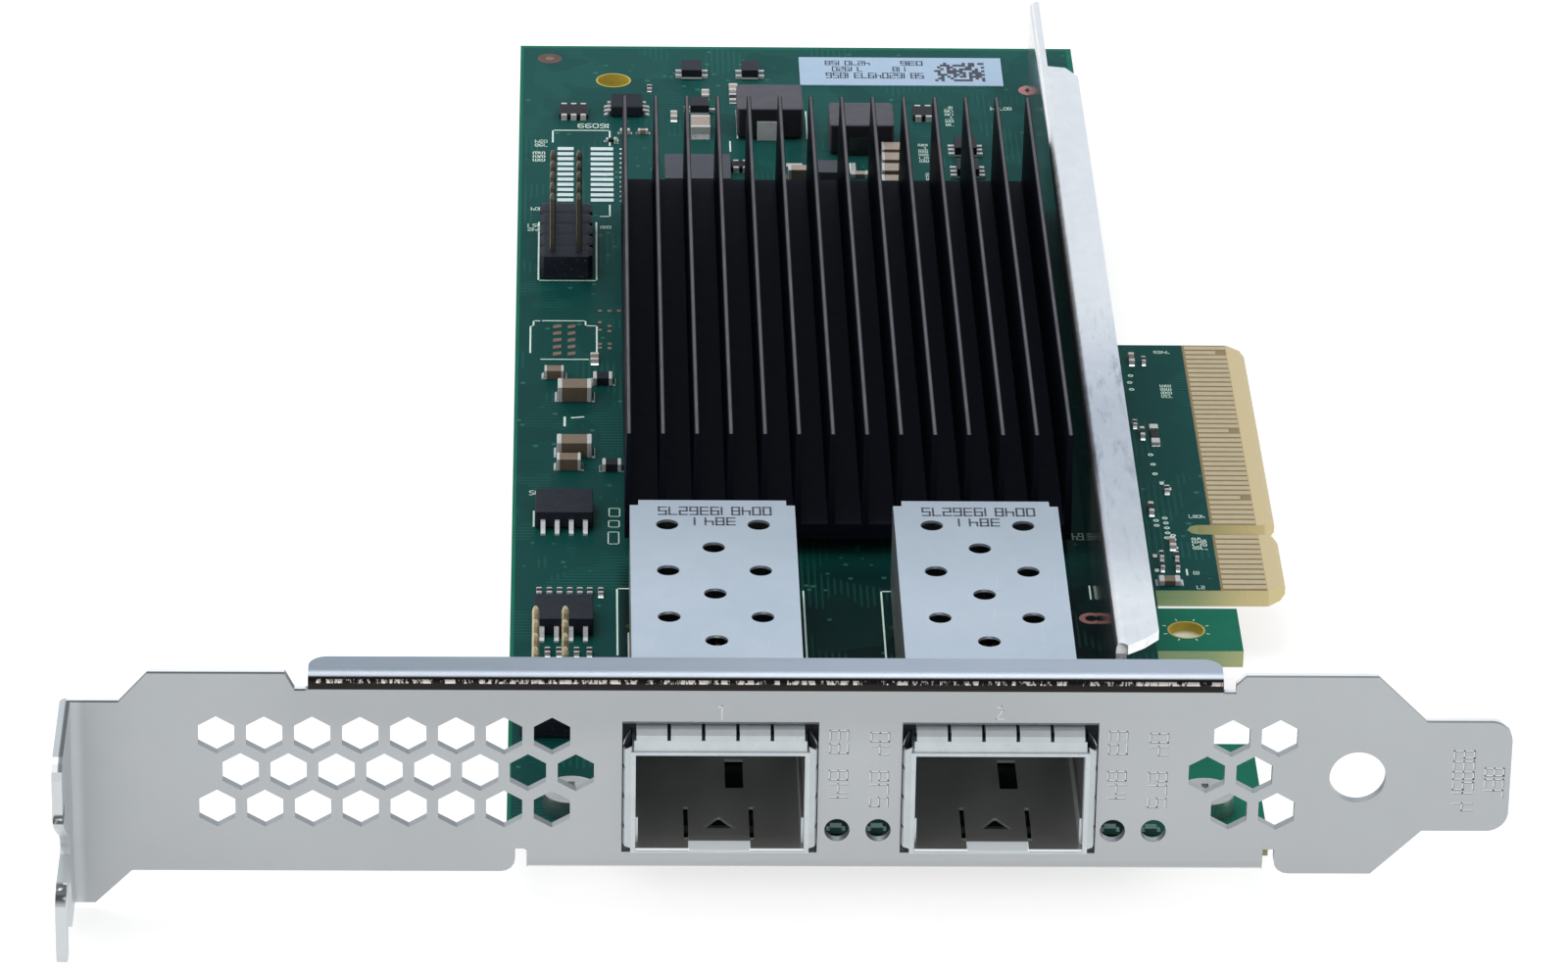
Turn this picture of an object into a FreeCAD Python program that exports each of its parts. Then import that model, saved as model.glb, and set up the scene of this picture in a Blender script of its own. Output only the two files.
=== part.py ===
import FreeCAD, Part
import Sketcher
import os
import math

# Two-port network interface card with a full-height bracket.
# Card frame: x along the bracket (screw ear at -x, tongue at +x), y along the
# board away from the bracket, z up from the board's component side.
# The bracket's front face is y = 0 and the board's component side is z = 0.
# Every piece carries the same Placement, which moves the card frame so that
# the origin is under the middle of the whole card.

V = FreeCAD.Vector
doc = FreeCAD.newDocument("network_card")
dims = doc.addObject("Spreadsheet::Sheet", "dims")


class Q:
    """A number together with the sheet expression that gives it."""

    def __init__(self, v, e=None):
        self.v = float(v)
        self.e = e

    @staticmethod
    def of(x):
        return x if isinstance(x, Q) else Q(x)

    def s(self):
        return self.e if self.e is not None else "%.6f" % self.v

    def _op(self, other, sign, swap=False):
        a, b = Q.of(self), Q.of(other)
        if swap:
            a, b = b, a
        if sign == "+":
            v = a.v + b.v
        elif sign == "-":
            v = a.v - b.v
        elif sign == "*":
            v = a.v * b.v
        else:
            v = a.v / b.v
        e = None
        if a.e is not None or b.e is not None:
            e = "(%s %s %s)" % (a.s(), sign, b.s())
        return Q(v, e)

    def __add__(self, o): return self._op(o, "+")
    def __radd__(self, o): return self._op(o, "+", True)
    def __sub__(self, o): return self._op(o, "-")
    def __rsub__(self, o): return self._op(o, "-", True)
    def __mul__(self, o): return self._op(o, "*")
    def __rmul__(self, o): return self._op(o, "*", True)
    def __truediv__(self, o): return self._op(o, "/")
    def __neg__(self): return self._op(-1.0, "*")


SIZES = [
    # whole card
    ("origin_y", 79.635, "middle of the card's length from the bracket face"),
    ("origin_z", 5.45, "component side above the lowest point"),
    # bracket
    ("plate_t", 0.86, "bracket sheet"),
    ("over_half", 60.01, "half the bracket's overall length"),
    ("body_top", 16.05, "plate top edge"),
    ("body_low", -2.37, "plate bottom edge"),
    ("ear_top", 13.35, "ear top"),
    ("ear_low", -5.45, "ear bottom"),
    ("ear_deep", 11.43, "ear depth"),
    ("notch_r", 2.21, "screw notch radius"),
    ("notch_y", 6.35, "screw notch centre from the face"),
    ("notch_z", -2.35, "screw notch centre height"),
    ("tongue_top", 11.9, "tongue top edge"),
    ("tongue_low", 1.72, "tongue bottom edge"),
    ("hex_pitch", 3.955, "honeycomb pitch"),
    ("hex_flat", 3.0, "honeycomb across flats"),
    ("hexl_x", -47.2, "first hexagon, left group"),
    ("hexr_x", 34.74, "first hexagon, right group"),
    ("hex_z", 10.36, "top honeycomb row"),
    ("hole_x", 47.31, "large round hole"),
    ("hole_z", 6.74, "large round hole height"),
    ("hole_r", 2.35, "large round hole radius"),
    ("led_z", 1.62, "light hole height"),
    ("led_r", 1.05, "light hole radius"),
    ("lip_l", -39.6, "top lip left end"),
    ("lip_r", 35.85, "top lip right end"),
    ("lip_deep", 3.6, "top lip depth"),
    ("lip_top", 15.85, "top lip upper face"),
    ("flange_l", -21.6, "bottom flange left end"),
    ("flange_r", 39.7, "bottom flange right end"),
    ("tab_deep", 10.2, "fixing tab depth"),
    ("flange_deep", 4.2, "bottom flange depth"),
    ("screw_l", -17.9, "left bracket screw"),
    ("screw_r", 35.4, "right bracket screw"),
    ("screw_y", 7.0, "bracket screws from the face"),
    ("bend_out", 1.25, "outside bend radius"),
    # board
    ("board_t", 1.57, "board thickness"),
    ("board_l", -23.3, "board left edge"),
    ("board_r", 33.3, "board right edge beside the connector"),
    ("board_near", 1.6, "board edge behind the bracket"),
    ("board_far", 170.7, "board far edge"),
    ("tip_x", 45.6, "edge connector tip"),
    ("conn_near", 47.45, "edge connector near side"),
    ("conn_far", 98.8, "edge connector far side"),
    ("key_near", 58.65, "key notch near side"),
    ("key_far", 60.55, "key notch far side"),
    ("key_in", 37.6, "key notch inner end"),
    ("first_y", 48.1, "first contact"),
    ("contact_w", 0.7, "contact width"),
    ("contact_in", 39.95, "contacts inner end"),
    ("contact_l", 3.9, "contact length"),
    ("contact_t", 0.05, "contact thickness"),
    ("tab_r", 40.85, "small tab right edge"),
    ("tab_near", 35.75, "small tab near edge"),
    ("tab_far", 43.95, "small tab far edge"),
    ("tabhole_x", 36.1, "small tab hole"),
    ("tabhole_y", 39.8, "small tab hole along the board"),
    ("tabhole_r", 1.5, "small tab hole radius"),
    ("corner_x", -13.8, "corner hole"),
    ("corner_y", 161.8, "corner hole along the board"),
    ("corner_r", 1.6, "corner hole radius"),
    # cages
    ("cage1_x", -5.6, "first cage centre"),
    ("cage2_x", 17.55, "second cage centre"),
    ("cage_w", 14.5, "cage outside width"),
    ("cage_h", 9.3, "cage outside height above the board"),
    ("cage_far", 46.3, "cage far end"),
    ("cage_t", 0.25, "cage sheet"),
    ("vent_r", 0.98, "cage vent hole radius"),
    ("cut_w", 16.25, "port cut-out width"),
    ("cut_top", 11.35, "port cut-out top"),
    ("cut_low", -0.5, "port cut-out bottom"),
    # heatsink
    ("hs_l", -13.2, "heatsink left side"),
    ("hs_r", 26.7, "heatsink right side"),
    ("hs_near", 54.2, "heatsink near end"),
    ("hs_far", 130.0, "heatsink far end"),
    ("hs_low", 1.6, "heatsink base underside"),
    ("hs_base", 1.5, "heatsink base thickness"),
    ("hs_top", 12.0, "fin tips"),
    ("fin_t", 0.62, "fin thickness"),
    ("fin_pitch", 3.0215, "fin pitch"),
    # stiffener
    ("stiff_x", 28.3, "stiffener wall left face"),
    ("stiff_t", 0.9, "stiffener sheet"),
    ("stiff_near", 18.6, "stiffener near end"),
    ("stiff_far", 161.0, "stiffener far end"),
    ("stiff_h", 9.5, "stiffener height"),
    ("stiff_w", 3.8, "stiffener flange width"),
    ("stiff_gap", 17.6, "flange shorter than the wall at the far end"),
]

QV = {}
for row, (alias, value, note) in enumerate(SIZES, start=1):
    dims.set("A%d" % row, note)
    dims.set("B%d" % row, "%.5f" % value)
    dims.setAlias("B%d" % row, alias)
    QV[alias] = Q(value, "dims." + alias)
doc.recompute()


def d(alias):
    return QV[alias]


def bind(obj, prop, q):
    q = Q.of(q)
    if q.e is None:
        if prop.startswith("Placement.Base."):
            p = obj.Placement
            b = p.Base
            setattr(b, prop[-1], q.v)
            p.Base = b
            obj.Placement = p
        else:
            setattr(obj, prop, q.v)
    else:
        obj.setExpression(prop, q.e)


NODES = []


def node(obj, label):
    obj.Label = label
    obj.setExpression("Placement.Base.y", "-dims.origin_y")
    obj.setExpression("Placement.Base.z", "dims.origin_z")
    NODES.append(obj)
    return obj


def new_body(name):
    return doc.addObject("PartDesign::Body", name)


def plane(body, role):
    return [f for f in body.Origin.OriginFeatures if f.Role == role][0]


def new_sketch(body, name, role, offset=0.0):
    """A sketch on an origin plane; offset is along the plane's own normal."""
    sk = body.newObject("Sketcher::SketchObject", name)
    sk.AttachmentSupport = [(plane(body, role), "")]
    sk.MapMode = "FlatFace"
    q = Q.of(offset)
    if q.e is None:
        sk.AttachmentOffset = FreeCAD.Placement(V(0, 0, q.v), FreeCAD.Rotation())
    else:
        sk.setExpression("AttachmentOffset.Base.z", q.e)
    return sk


def fix(sk, geo, pos, x, y):
    for kind, val in (("DistanceX", Q.of(x)), ("DistanceY", Q.of(y))):
        i = sk.addConstraint(Sketcher.Constraint(kind, -1, 1, geo, pos, val.v))
        if val.e is not None:
            sk.setExpression("Constraints[%d]" % i, val.e)


def poly(sk, pts):
    pts = [(Q.of(a), Q.of(b)) for a, b in pts]
    n = len(pts)
    ids = []
    for i in range(n):
        a, b = pts[i], pts[(i + 1) % n]
        ids.append(sk.addGeometry(Part.LineSegment(V(a[0].v, a[1].v, 0), V(b[0].v, b[1].v, 0)), False))
    for i in range(n):
        sk.addConstraint(Sketcher.Constraint("Coincident", ids[i], 2, ids[(i + 1) % n], 1))
    for i in range(n):
        fix(sk, ids[i], 1, pts[i][0], pts[i][1])
    return ids


def rect(sk, x0, y0, x1, y1):
    return poly(sk, [(x0, y0), (x1, y0), (x1, y1), (x0, y1)])


def circle(sk, x, y, r):
    x, y, r = Q.of(x), Q.of(y), Q.of(r)
    g = sk.addGeometry(Part.Circle(V(x.v, y.v, 0), V(0, 0, 1), r.v), False)
    fix(sk, g, 3, x, y)
    i = sk.addConstraint(Sketcher.Constraint("Radius", g, r.v))
    if r.e is not None:
        sk.setExpression("Constraints[%d]" % i, r.e)
    return g


def pad(body, sk, name, length, reverse=False):
    p = body.newObject("PartDesign::Pad", name)
    p.Profile = sk
    bind(p, "Length", length)
    p.Reversed = reverse
    return p


def pocket(body, sk, name, length, reverse=False, midplane=False):
    p = body.newObject("PartDesign::Pocket", name)
    p.Profile = sk
    bind(p, "Length", length)
    p.Reversed = reverse
    if midplane:
        p.Midplane = True
    return p


def edge_names(shape, test):
    out = []
    for i, e in enumerate(shape.Edges, start=1):
        if test(e):
            out.append("Edge%d" % i)
    return out


def fillet(body, base, name, radius, test):
    doc.recompute()
    names = edge_names(base.Shape, test)
    if not names:
        raise RuntimeError("no edges for " + name)
    f = body.newObject("PartDesign::Fillet", name)
    f.Base = (base, names)
    bind(f, "Radius", radius)
    return f


def chamfer(body, base, name, size, test):
    doc.recompute()
    names = edge_names(base.Shape, test)
    if not names:
        raise RuntimeError("no edges for " + name)
    f = body.newObject("PartDesign::Chamfer", name)
    f.Base = (base, names)
    bind(f, "Size", size)
    return f


def near(a, b, tol=1e-4):
    return abs(a - b) < tol


def along(e, axis):
    if len(e.Vertexes) != 2:
        return False
    dv = e.Vertexes[1].Point - e.Vertexes[0].Point
    if not near(dv.Length, e.Length, 1e-5) or dv.Length < 1e-6:
        return False
    u = [abs(dv.x), abs(dv.y), abs(dv.z)]
    return u["xyz".index(axis)] > 0.999 * dv.Length


def box(name, x0, y0, z0, lx, ly, lz):
    b = doc.addObject("Part::Box", name)
    bind(b, "Length", lx)
    bind(b, "Width", ly)
    bind(b, "Height", lz)
    bind(b, "Placement.Base.x", x0)
    bind(b, "Placement.Base.y", y0)
    bind(b, "Placement.Base.z", z0)
    return b


def cyl(name, x, y, z, r, h, axis="z"):
    c = doc.addObject("Part::Cylinder", name)
    bind(c, "Radius", r)
    bind(c, "Height", h)
    if axis == "y":
        c.Placement = FreeCAD.Placement(V(0, 0, 0), FreeCAD.Rotation(V(1, 0, 0), -90))
    elif axis == "x":
        c.Placement = FreeCAD.Placement(V(0, 0, 0), FreeCAD.Rotation(V(0, 1, 0), 90))
    bind(c, "Placement.Base.x", x)
    bind(c, "Placement.Base.y", y)
    bind(c, "Placement.Base.z", z)
    return c


def fuse(name, objs):
    if len(objs) == 1:
        return objs[0]
    f = doc.addObject("Part::MultiFuse", name)
    f.Shapes = objs
    return f


def cut(name, a, b):
    c = doc.addObject("Part::Cut", name)
    c.Base = a
    c.Tool = b
    return c


def group(label, objs):
    c = doc.addObject("Part::Compound", label + "_set")
    c.Links = objs
    return node(c, label)


# ---------------------------------------------------------------- bracket
t = d("plate_t")
br = new_body("bracket_body")
sk = new_sketch(br, "plate_outline", "XZ_Plane")
crease = -d("over_half") + t
outline = [
    (crease, d("ear_low")), (-57.45, d("ear_low")), (-54.35, d("body_low")),
    (-23.75, d("body_low")), (-23.29, d("body_low") + 0.09), (-22.90, d("body_low") + 0.35), (-22.64, d("body_low") + 0.74), (-22.55, d("body_low") + 1.2), (-22.55, -0.22), (d("flange_l"), -0.22),
    (d("flange_l"), -d("board_t") - t), (d("flange_r"), -d("board_t") - t), (d("flange_r"), -0.1),
    (40.65, -0.1), (40.65, d("body_low") + 1.2), (40.74, d("body_low") + 0.74), (41.00, d("body_low") + 0.35), (41.39, d("body_low") + 0.09), (41.85, d("body_low")),
    (48.75, d("body_low")), (52.85, d("tongue_low")),
    (d("over_half"), d("tongue_low")), (d("over_half"), d("tongue_top")),
    (52.85, d("tongue_top")), (48.67, d("body_top")),
    (37.7, d("body_top")), (36.9, d("body_top") - 0.8), (36.9, 14.5), (d("lip_r"), 14.5),
    (d("lip_r"), d("lip_top")), (d("lip_l"), d("lip_top")), (d("lip_l"), 14.5),
    (-40.7, 14.5), (-41.5, d("body_top")),
    (-52.8, d("body_top")), (-55.2, d("ear_top")), (crease, d("ear_top")),
]
poly(sk, outline)
plate = pad(br, sk, "plate", t, reverse=True)
# top lip, bent back over the board
sk = new_sketch(br, "lip_outline", "YZ_Plane", d("lip_l"))
rect(sk, 0, d("lip_top") - t, d("lip_deep"), d("lip_top"))
lip = pad(br, sk, "lip", d("lip_r") - d("lip_l"))
# bottom flange with two deeper fixing tabs, bent back under the board
sk = new_sketch(br, "flange_outline", "XY_Plane", -d("board_t") - t)
fl, fr, fd, td = d("flange_l"), d("flange_r"), d("flange_deep"), d("tab_deep")
poly(sk, [(fl, 0), (fr, 0), (fr, td), (fr - 8.0, td), (fr - 9.5, fd), (fl + 9.5, fd), (fl + 8.0, td), (fl, td)])
flange = pad(br, sk, "flange", t)
# screw ear, bent forward, with its open screw notch
sk = new_sketch(br, "ear_outline", "YZ_Plane", -d("over_half"))
ed, et, el = d("ear_deep"), d("ear_top"), d("ear_low")
poly(sk, [(t, el), (t, et), (-ed + 1.9, et), (-ed + 1.1, et - 0.2), (-ed + 0.45, et - 0.65), (-ed + 0.1, et - 1.3), (-ed, et - 2.0),
          (-ed, et - 4.3), (-ed + 0.35, et - 5.3), (-ed + 1.3, et - 6.3), (-ed + 4.2, et - 8.3), (-ed + 6.6, et - 9.8),
          (-ed + 7.7, et - 10.8), (-ed + 7.9, et - 11.5), (-ed + 7.3, et - 11.95), (-ed + 2.4, et - 11.95), (-ed + 1.0, et - 12.3), (-ed + 0.25, et - 13.0), (-ed, et - 14.0),
          (-ed, el + 1.4), (-ed + 0.3, el + 0.6), (-ed + 1.1, el + 0.15), (-ed + 1.9, el)])
ear = pad(br, sk, "ear", t)
sk = new_sketch(br, "notch_outline", "YZ_Plane", -d("over_half") - 1.0)
rect(sk, -d("notch_y") - d("notch_r"), d("ear_low") - 2.0, -d("notch_y") + d("notch_r"), d("notch_z"))
notch = pocket(br, sk, "notch_slot", t + 2.0, reverse=True)
sk = new_sketch(br, "notch_round", "YZ_Plane", -d("over_half") - 1.0)
circle(sk, -d("notch_y"), d("notch_z"), d("notch_r"))
notch2 = pocket(br, sk, "notch_end", t + 2.0, reverse=True)
# round openings: large hole, light holes, fixing holes in the tabs
sk = new_sketch(br, "round_holes", "XZ_Plane", 1.0)
circle(sk, d("hole_x"), d("hole_z"), d("hole_r"))
for x in (4.17, 7.59, 27.1, 30.5):
    circle(sk, x, d("led_z"), d("led_r"))
holes = pocket(br, sk, "round_holes_cut", t + 2.0)
# port cut-outs
sk = new_sketch(br, "port_cutouts", "XZ_Plane", 1.0)
for cx in (d("cage1_x"), d("cage2_x")):
    rect(sk, cx - d("cut_w") / 2, d("cut_low"), cx + d("cut_w") / 2, d("cut_top"))
ports = pocket(br, sk, "port_cutouts_cut", t + 2.0)
# honeycomb vents
s3 = d("hex_flat") / math.sqrt(3.0)


def hexagon(sk, cx, cz):
    hf = d("hex_flat") / 2
    poly(sk, [(cx + hf, cz + s3 / 2), (cx, cz + s3), (cx - hf, cz + s3 / 2),
              (cx - hf, cz - s3 / 2), (cx, cz - s3), (cx + hf, cz - s3 / 2)])


rowstep = d("hex_pitch") * (math.sqrt(3.0) / 2)
sk = new_sketch(br, "honeycomb_left", "XZ_Plane", 1.0)
hexagon(sk, d("hexl_x"), d("hex_z"))
hexagon(sk, d("hexl_x") + d("hex_pitch") / 2, d("hex_z") - rowstep)
hexagon(sk, d("hexl_x"), d("hex_z") - rowstep * 2)
hexcut_l = pocket(br, sk, "honeycomb_left_cut", t + 2.0)
pat_l = br.newObject("PartDesign::LinearPattern", "honeycomb_left_rows")
pat_l.Originals = [hexcut_l]
pat_l.Direction = (sk, ["H_Axis"])
pat_l.Occurrences = 8
bind(pat_l, "Length", d("hex_pitch") * 7)
br.Tip = pat_l
sk = new_sketch(br, "honeycomb_right", "XZ_Plane", 1.0)
hexagon(sk, d("hexr_x") + d("hex_pitch") / 2, d("hex_z"))
hexagon(sk, d("hexr_x"), d("hex_z") - rowstep)
hexagon(sk, d("hexr_x") + d("hex_pitch") / 2, d("hex_z") - rowstep * 2)
hexcut_r = pocket(br, sk, "honeycomb_right_cut", t + 2.0)
pat_r = br.newObject("PartDesign::LinearPattern", "honeycomb_right_rows")
pat_r.Originals = [hexcut_r]
pat_r.Direction = (sk, ["H_Axis"])
pat_r.Occurrences = 2
bind(pat_r, "Length", d("hex_pitch"))
br.Tip = pat_r
# fixing holes through the tabs
sk = new_sketch(br, "tab_holes", "XY_Plane", 0.0)
for x in (d("screw_l"), d("screw_r")):
    circle(sk, x, d("screw_y"), 1.25)
tabcut = pocket(br, sk, "tab_holes_cut", 6.0)
br.Tip = tabcut
doc.recompute()
# outside of the bends
zt, zb = d("lip_top").v, -d("board_t").v - t.v


def is_lip_bend(e):
    c = e.CenterOfMass
    return along(e, "x") and near(c.z, zt) and near(c.y, 0)


def is_flange_bend(e):
    c = e.CenterOfMass
    return along(e, "x") and near(c.z, zb) and near(c.y, 0)


def is_ear_bend(e):
    c = e.CenterOfMass
    return along(e, "z") and near(c.x, -d("over_half").v) and near(c.y, t.v)


bend = fillet(br, tabcut, "bends", d("bend_out"), lambda e: is_lip_bend(e) or is_flange_bend(e))
bend2 = fillet(br, bend, "ear_bend", 0.8, is_ear_bend)


def is_tongue_corner(e):
    c = e.CenterOfMass
    return along(e, "y") and near(c.x, d("over_half").v) and (near(c.z, d("tongue_top").v) or near(c.z, d("tongue_low").v))


corners = fillet(br, bend2, "tongue_corners", 1.8, is_tongue_corner)


def is_lip_corner(e):
    c = e.CenterOfMass
    return along(e, "z") and near(c.y, d("lip_deep").v) and c.z > 10


lipc = fillet(br, corners, "lip_corners", 1.6, is_lip_corner)


def is_port_edge(e):
    c = e.CenterOfMass
    return along(e, "x") and near(c.z, d("cut_top").v) and near(c.y, 0)


eased = chamfer(br, lipc, "port_edges", 0.4, is_port_edge)
br.Tip = eased
node(br, "bracket")

# bracket screws: pan heads on the board's component side
scr = []
for i, x in enumerate((d("screw_l"), d("screw_r"))):
    shank = cyl("bracket_screw_shank_%d" % i, x, d("screw_y"), -d("board_t") - t - 0.5, 1.22, d("board_t") + t + 1.0)
    head = cyl("bracket_screw_head_%d" % i, x, d("screw_y"), 0, 2.4, 1.6)
    both = fuse("bracket_screw_%d" % i, [shank, head])
    slot_a = box("bracket_screw_slot_a_%d" % i, x - 1.4, d("screw_y") - 0.3, 0.8, 2.8, 0.6, 1.0)
    slot_b = box("bracket_screw_slot_b_%d" % i, x - 0.3, d("screw_y") - 1.4, 0.8, 0.6, 2.8, 1.0)
    cross = fuse("bracket_screw_cross_%d" % i, [slot_a, slot_b])
    scr.append(cut("bracket_screw_cut_%d" % i, both, cross))
group("bracket_screws", scr)

# ---------------------------------------------------------------- board
bd = new_body("board_body")
sk = new_sketch(bd, "board_outline", "XY_Plane", -d("board_t"))
poly(sk, [
    (d("board_l"), d("board_near") + 2.2), (d("board_l") + 2.4, d("board_near")), (40.3, d("board_near")), (40.3, 18.5), (d("board_r"), 18.5),
    (d("board_r"), d("tab_near")), (d("tab_r"), d("tab_near")), (d("tab_r"), d("tab_far")),
    (33.9, d("tab_far")), (33.9, d("conn_near")), (d("tip_x") - 1.6, d("conn_near")),
    (d("tip_x"), d("conn_near") + 1.6), (d("tip_x"), d("key_near") - 0.9), (d("tip_x") - 0.9, d("key_near")),
    (d("key_in") + 0.95, d("key_near")), (d("key_in") + 0.28, d("key_near") + 0.28), (d("key_in"), d("key_near") + 0.95),
    (d("key_in") + 0.28, d("key_far") - 0.28), (d("key_in") + 0.95, d("key_far")),
    (d("tip_x") - 0.9, d("key_far")), (d("tip_x"), d("key_far") + 0.9), (d("tip_x"), d("conn_far") - 1.6),
    (d("tip_x") - 1.6, d("conn_far")), (d("board_r"), d("conn_far")), (d("board_r"), d("board_far")),
    (d("board_l"), d("board_far")),
])
slab = pad(bd, sk, "slab", d("board_t"))
# plated and plain holes
sk = new_sketch(bd, "board_holes", "XY_Plane", 1.0)
circle(sk, d("tabhole_x"), d("tabhole_y"), d("tabhole_r"))
circle(sk, d("corner_x"), d("corner_y"), d("corner_r"))
for x in (d("screw_l"), d("screw_r")):
    circle(sk, x, d("screw_y"), 1.25)
for k in range(5):
    for x in (-19.85, -17.31):
        circle(sk, x, 114.4 + 2.54 * k, 0.5)
for k in range(4):
    for x in (-21.0, -18.46):
        circle(sk, x, 20.4 + 2.54 * k, 0.5)
for y in (24.0, 89.0, 152.0):
    rect(sk, d("stiff_x") - 0.05, y - 1.55, d("stiff_x") + d("stiff_t") + 0.05, y + 1.55)
for x in (-10.2, 23.7):
    for y in (60.0, 124.0):
        circle(sk, x, y, 1.3)
# cage press-in pins
for cx in (d("cage1_x"), d("cage2_x")):
    for y in (12.0, 26.0, 40.0):
        for sgn in (-1, 1):
            circle(sk, cx + (d("cage_w") / 2 - 0.125) * sgn, y, 0.5)
bholes = pocket(bd, sk, "board_holes_cut", d("board_t") + 2.0)
bd.Tip = bholes


def is_tip(e):
    c = e.CenterOfMass
    return along(e, "y") and near(c.x, d("tip_x").v) and e.Length > 5 and (near(c.z, 0) or near(c.z, -d("board_t").v))


bev = chamfer(bd, bholes, "tip_bevel", 0.45, is_tip)
bd.Tip = bev
node(bd, "pcb")

# contact fingers: 11 + 38 a side, with three shorter presence contacts
offs = [float(k) for k in range(11)] + [float(k) + 2.0 for k in range(11, 49)]
short = (17.0 + 1.0, 31.0 + 1.0, 48.0 + 1.0)
for label, z0 in (("edge_contacts_top", Q(0.0)), ("edge_contacts_bottom", -d("board_t") - d("contact_t"))):
    fingers = []
    for i, o in enumerate(offs):
        ln = d("contact_l") - 1.0 if o in short else d("contact_l")
        fingers.append(box("%s_%d" % (label, i), d("contact_in"), d("first_y") + o - d("contact_w") / 2, z0,
                           ln, d("contact_w"), d("contact_t")))
    group(label, fingers)

# ---------------------------------------------------------------- heatsink
hs = new_body("heatsink_body")
sk = new_sketch(hs, "heatsink_base", "XY_Plane", d("hs_low"))
rect(sk, d("hs_l"), d("hs_near"), d("hs_r"), d("hs_far"))
hbase = pad(hs, sk, "base_plate", d("hs_base"))
sk = new_sketch(hs, "fin_section", "XZ_Plane", -d("hs_far"))
f0 = d("hs_l")
zb0 = d("hs_low") + d("hs_base") - 0.05
poly(sk, [(f0, zb0), (f0 + d("fin_t"), zb0), (f0 + d("fin_t") - 0.11, d("hs_top")), (f0 + 0.11, d("hs_top"))])
fin = pad(hs, sk, "fin", d("hs_far") - d("hs_near"))
fins = hs.newObject("PartDesign::LinearPattern", "fins")
fins.Originals = [fin]
fins.Direction = (sk, ["H_Axis"])
fins.Occurrences = 14
bind(fins, "Length", d("fin_pitch") * 13)
hs.Tip = fins
sk = new_sketch(hs, "fixing_bosses", "XY_Plane", 0.0)
for x in (-10.2, 23.7):
    for y in (60.0, 124.0):
        circle(sk, x, y, 2.3)
bosses = pad(hs, sk, "bosses", d("hs_low") + 0.1)
sk = new_sketch(hs, "fixing_holes", "XY_Plane", -1.0)
for x in (-10.2, 23.7):
    for y in (60.0, 124.0):
        circle(sk, x, y, 1.0)
bhole = pocket(hs, sk, "fixing_holes_cut", d("hs_low") + 2.2, reverse=True)
hs.Tip = bhole
node(hs, "heatsink")
hsc = []
for x in (-10.2, 23.7):
    for y in (60.0, 124.0):
        n = len(hsc)
        a = cyl("heatsink_screw_shank_%d" % n, x, y, -d("board_t") - 0.1, 0.98, d("board_t") + 2.2)
        b = cyl("heatsink_screw_head_%d" % n, x, y, -d("board_t") - 0.75, 1.9, 0.75)
        hsc.append(fuse("heatsink_screw_%d" % n, [a, b]))
group("heatsink_screws", hsc)
chip = box("controller_chip_block", -4.5, 80.0, 0.0, 25.0, 25.0, 1.35)
node(chip, "controller_chip").setExpression("Placement.Base.y", "80 - dims.origin_y")
pad_ = box("thermal_pad_sheet", -4.5, 80.0, 1.35, 25.0, 25.0, d("hs_low") - 1.35)
node(pad_, "thermal_pad").setExpression("Placement.Base.y", "80 - dims.origin_y")
pad_.setExpression("Placement.Base.z", "1.35 + dims.origin_z")

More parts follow.
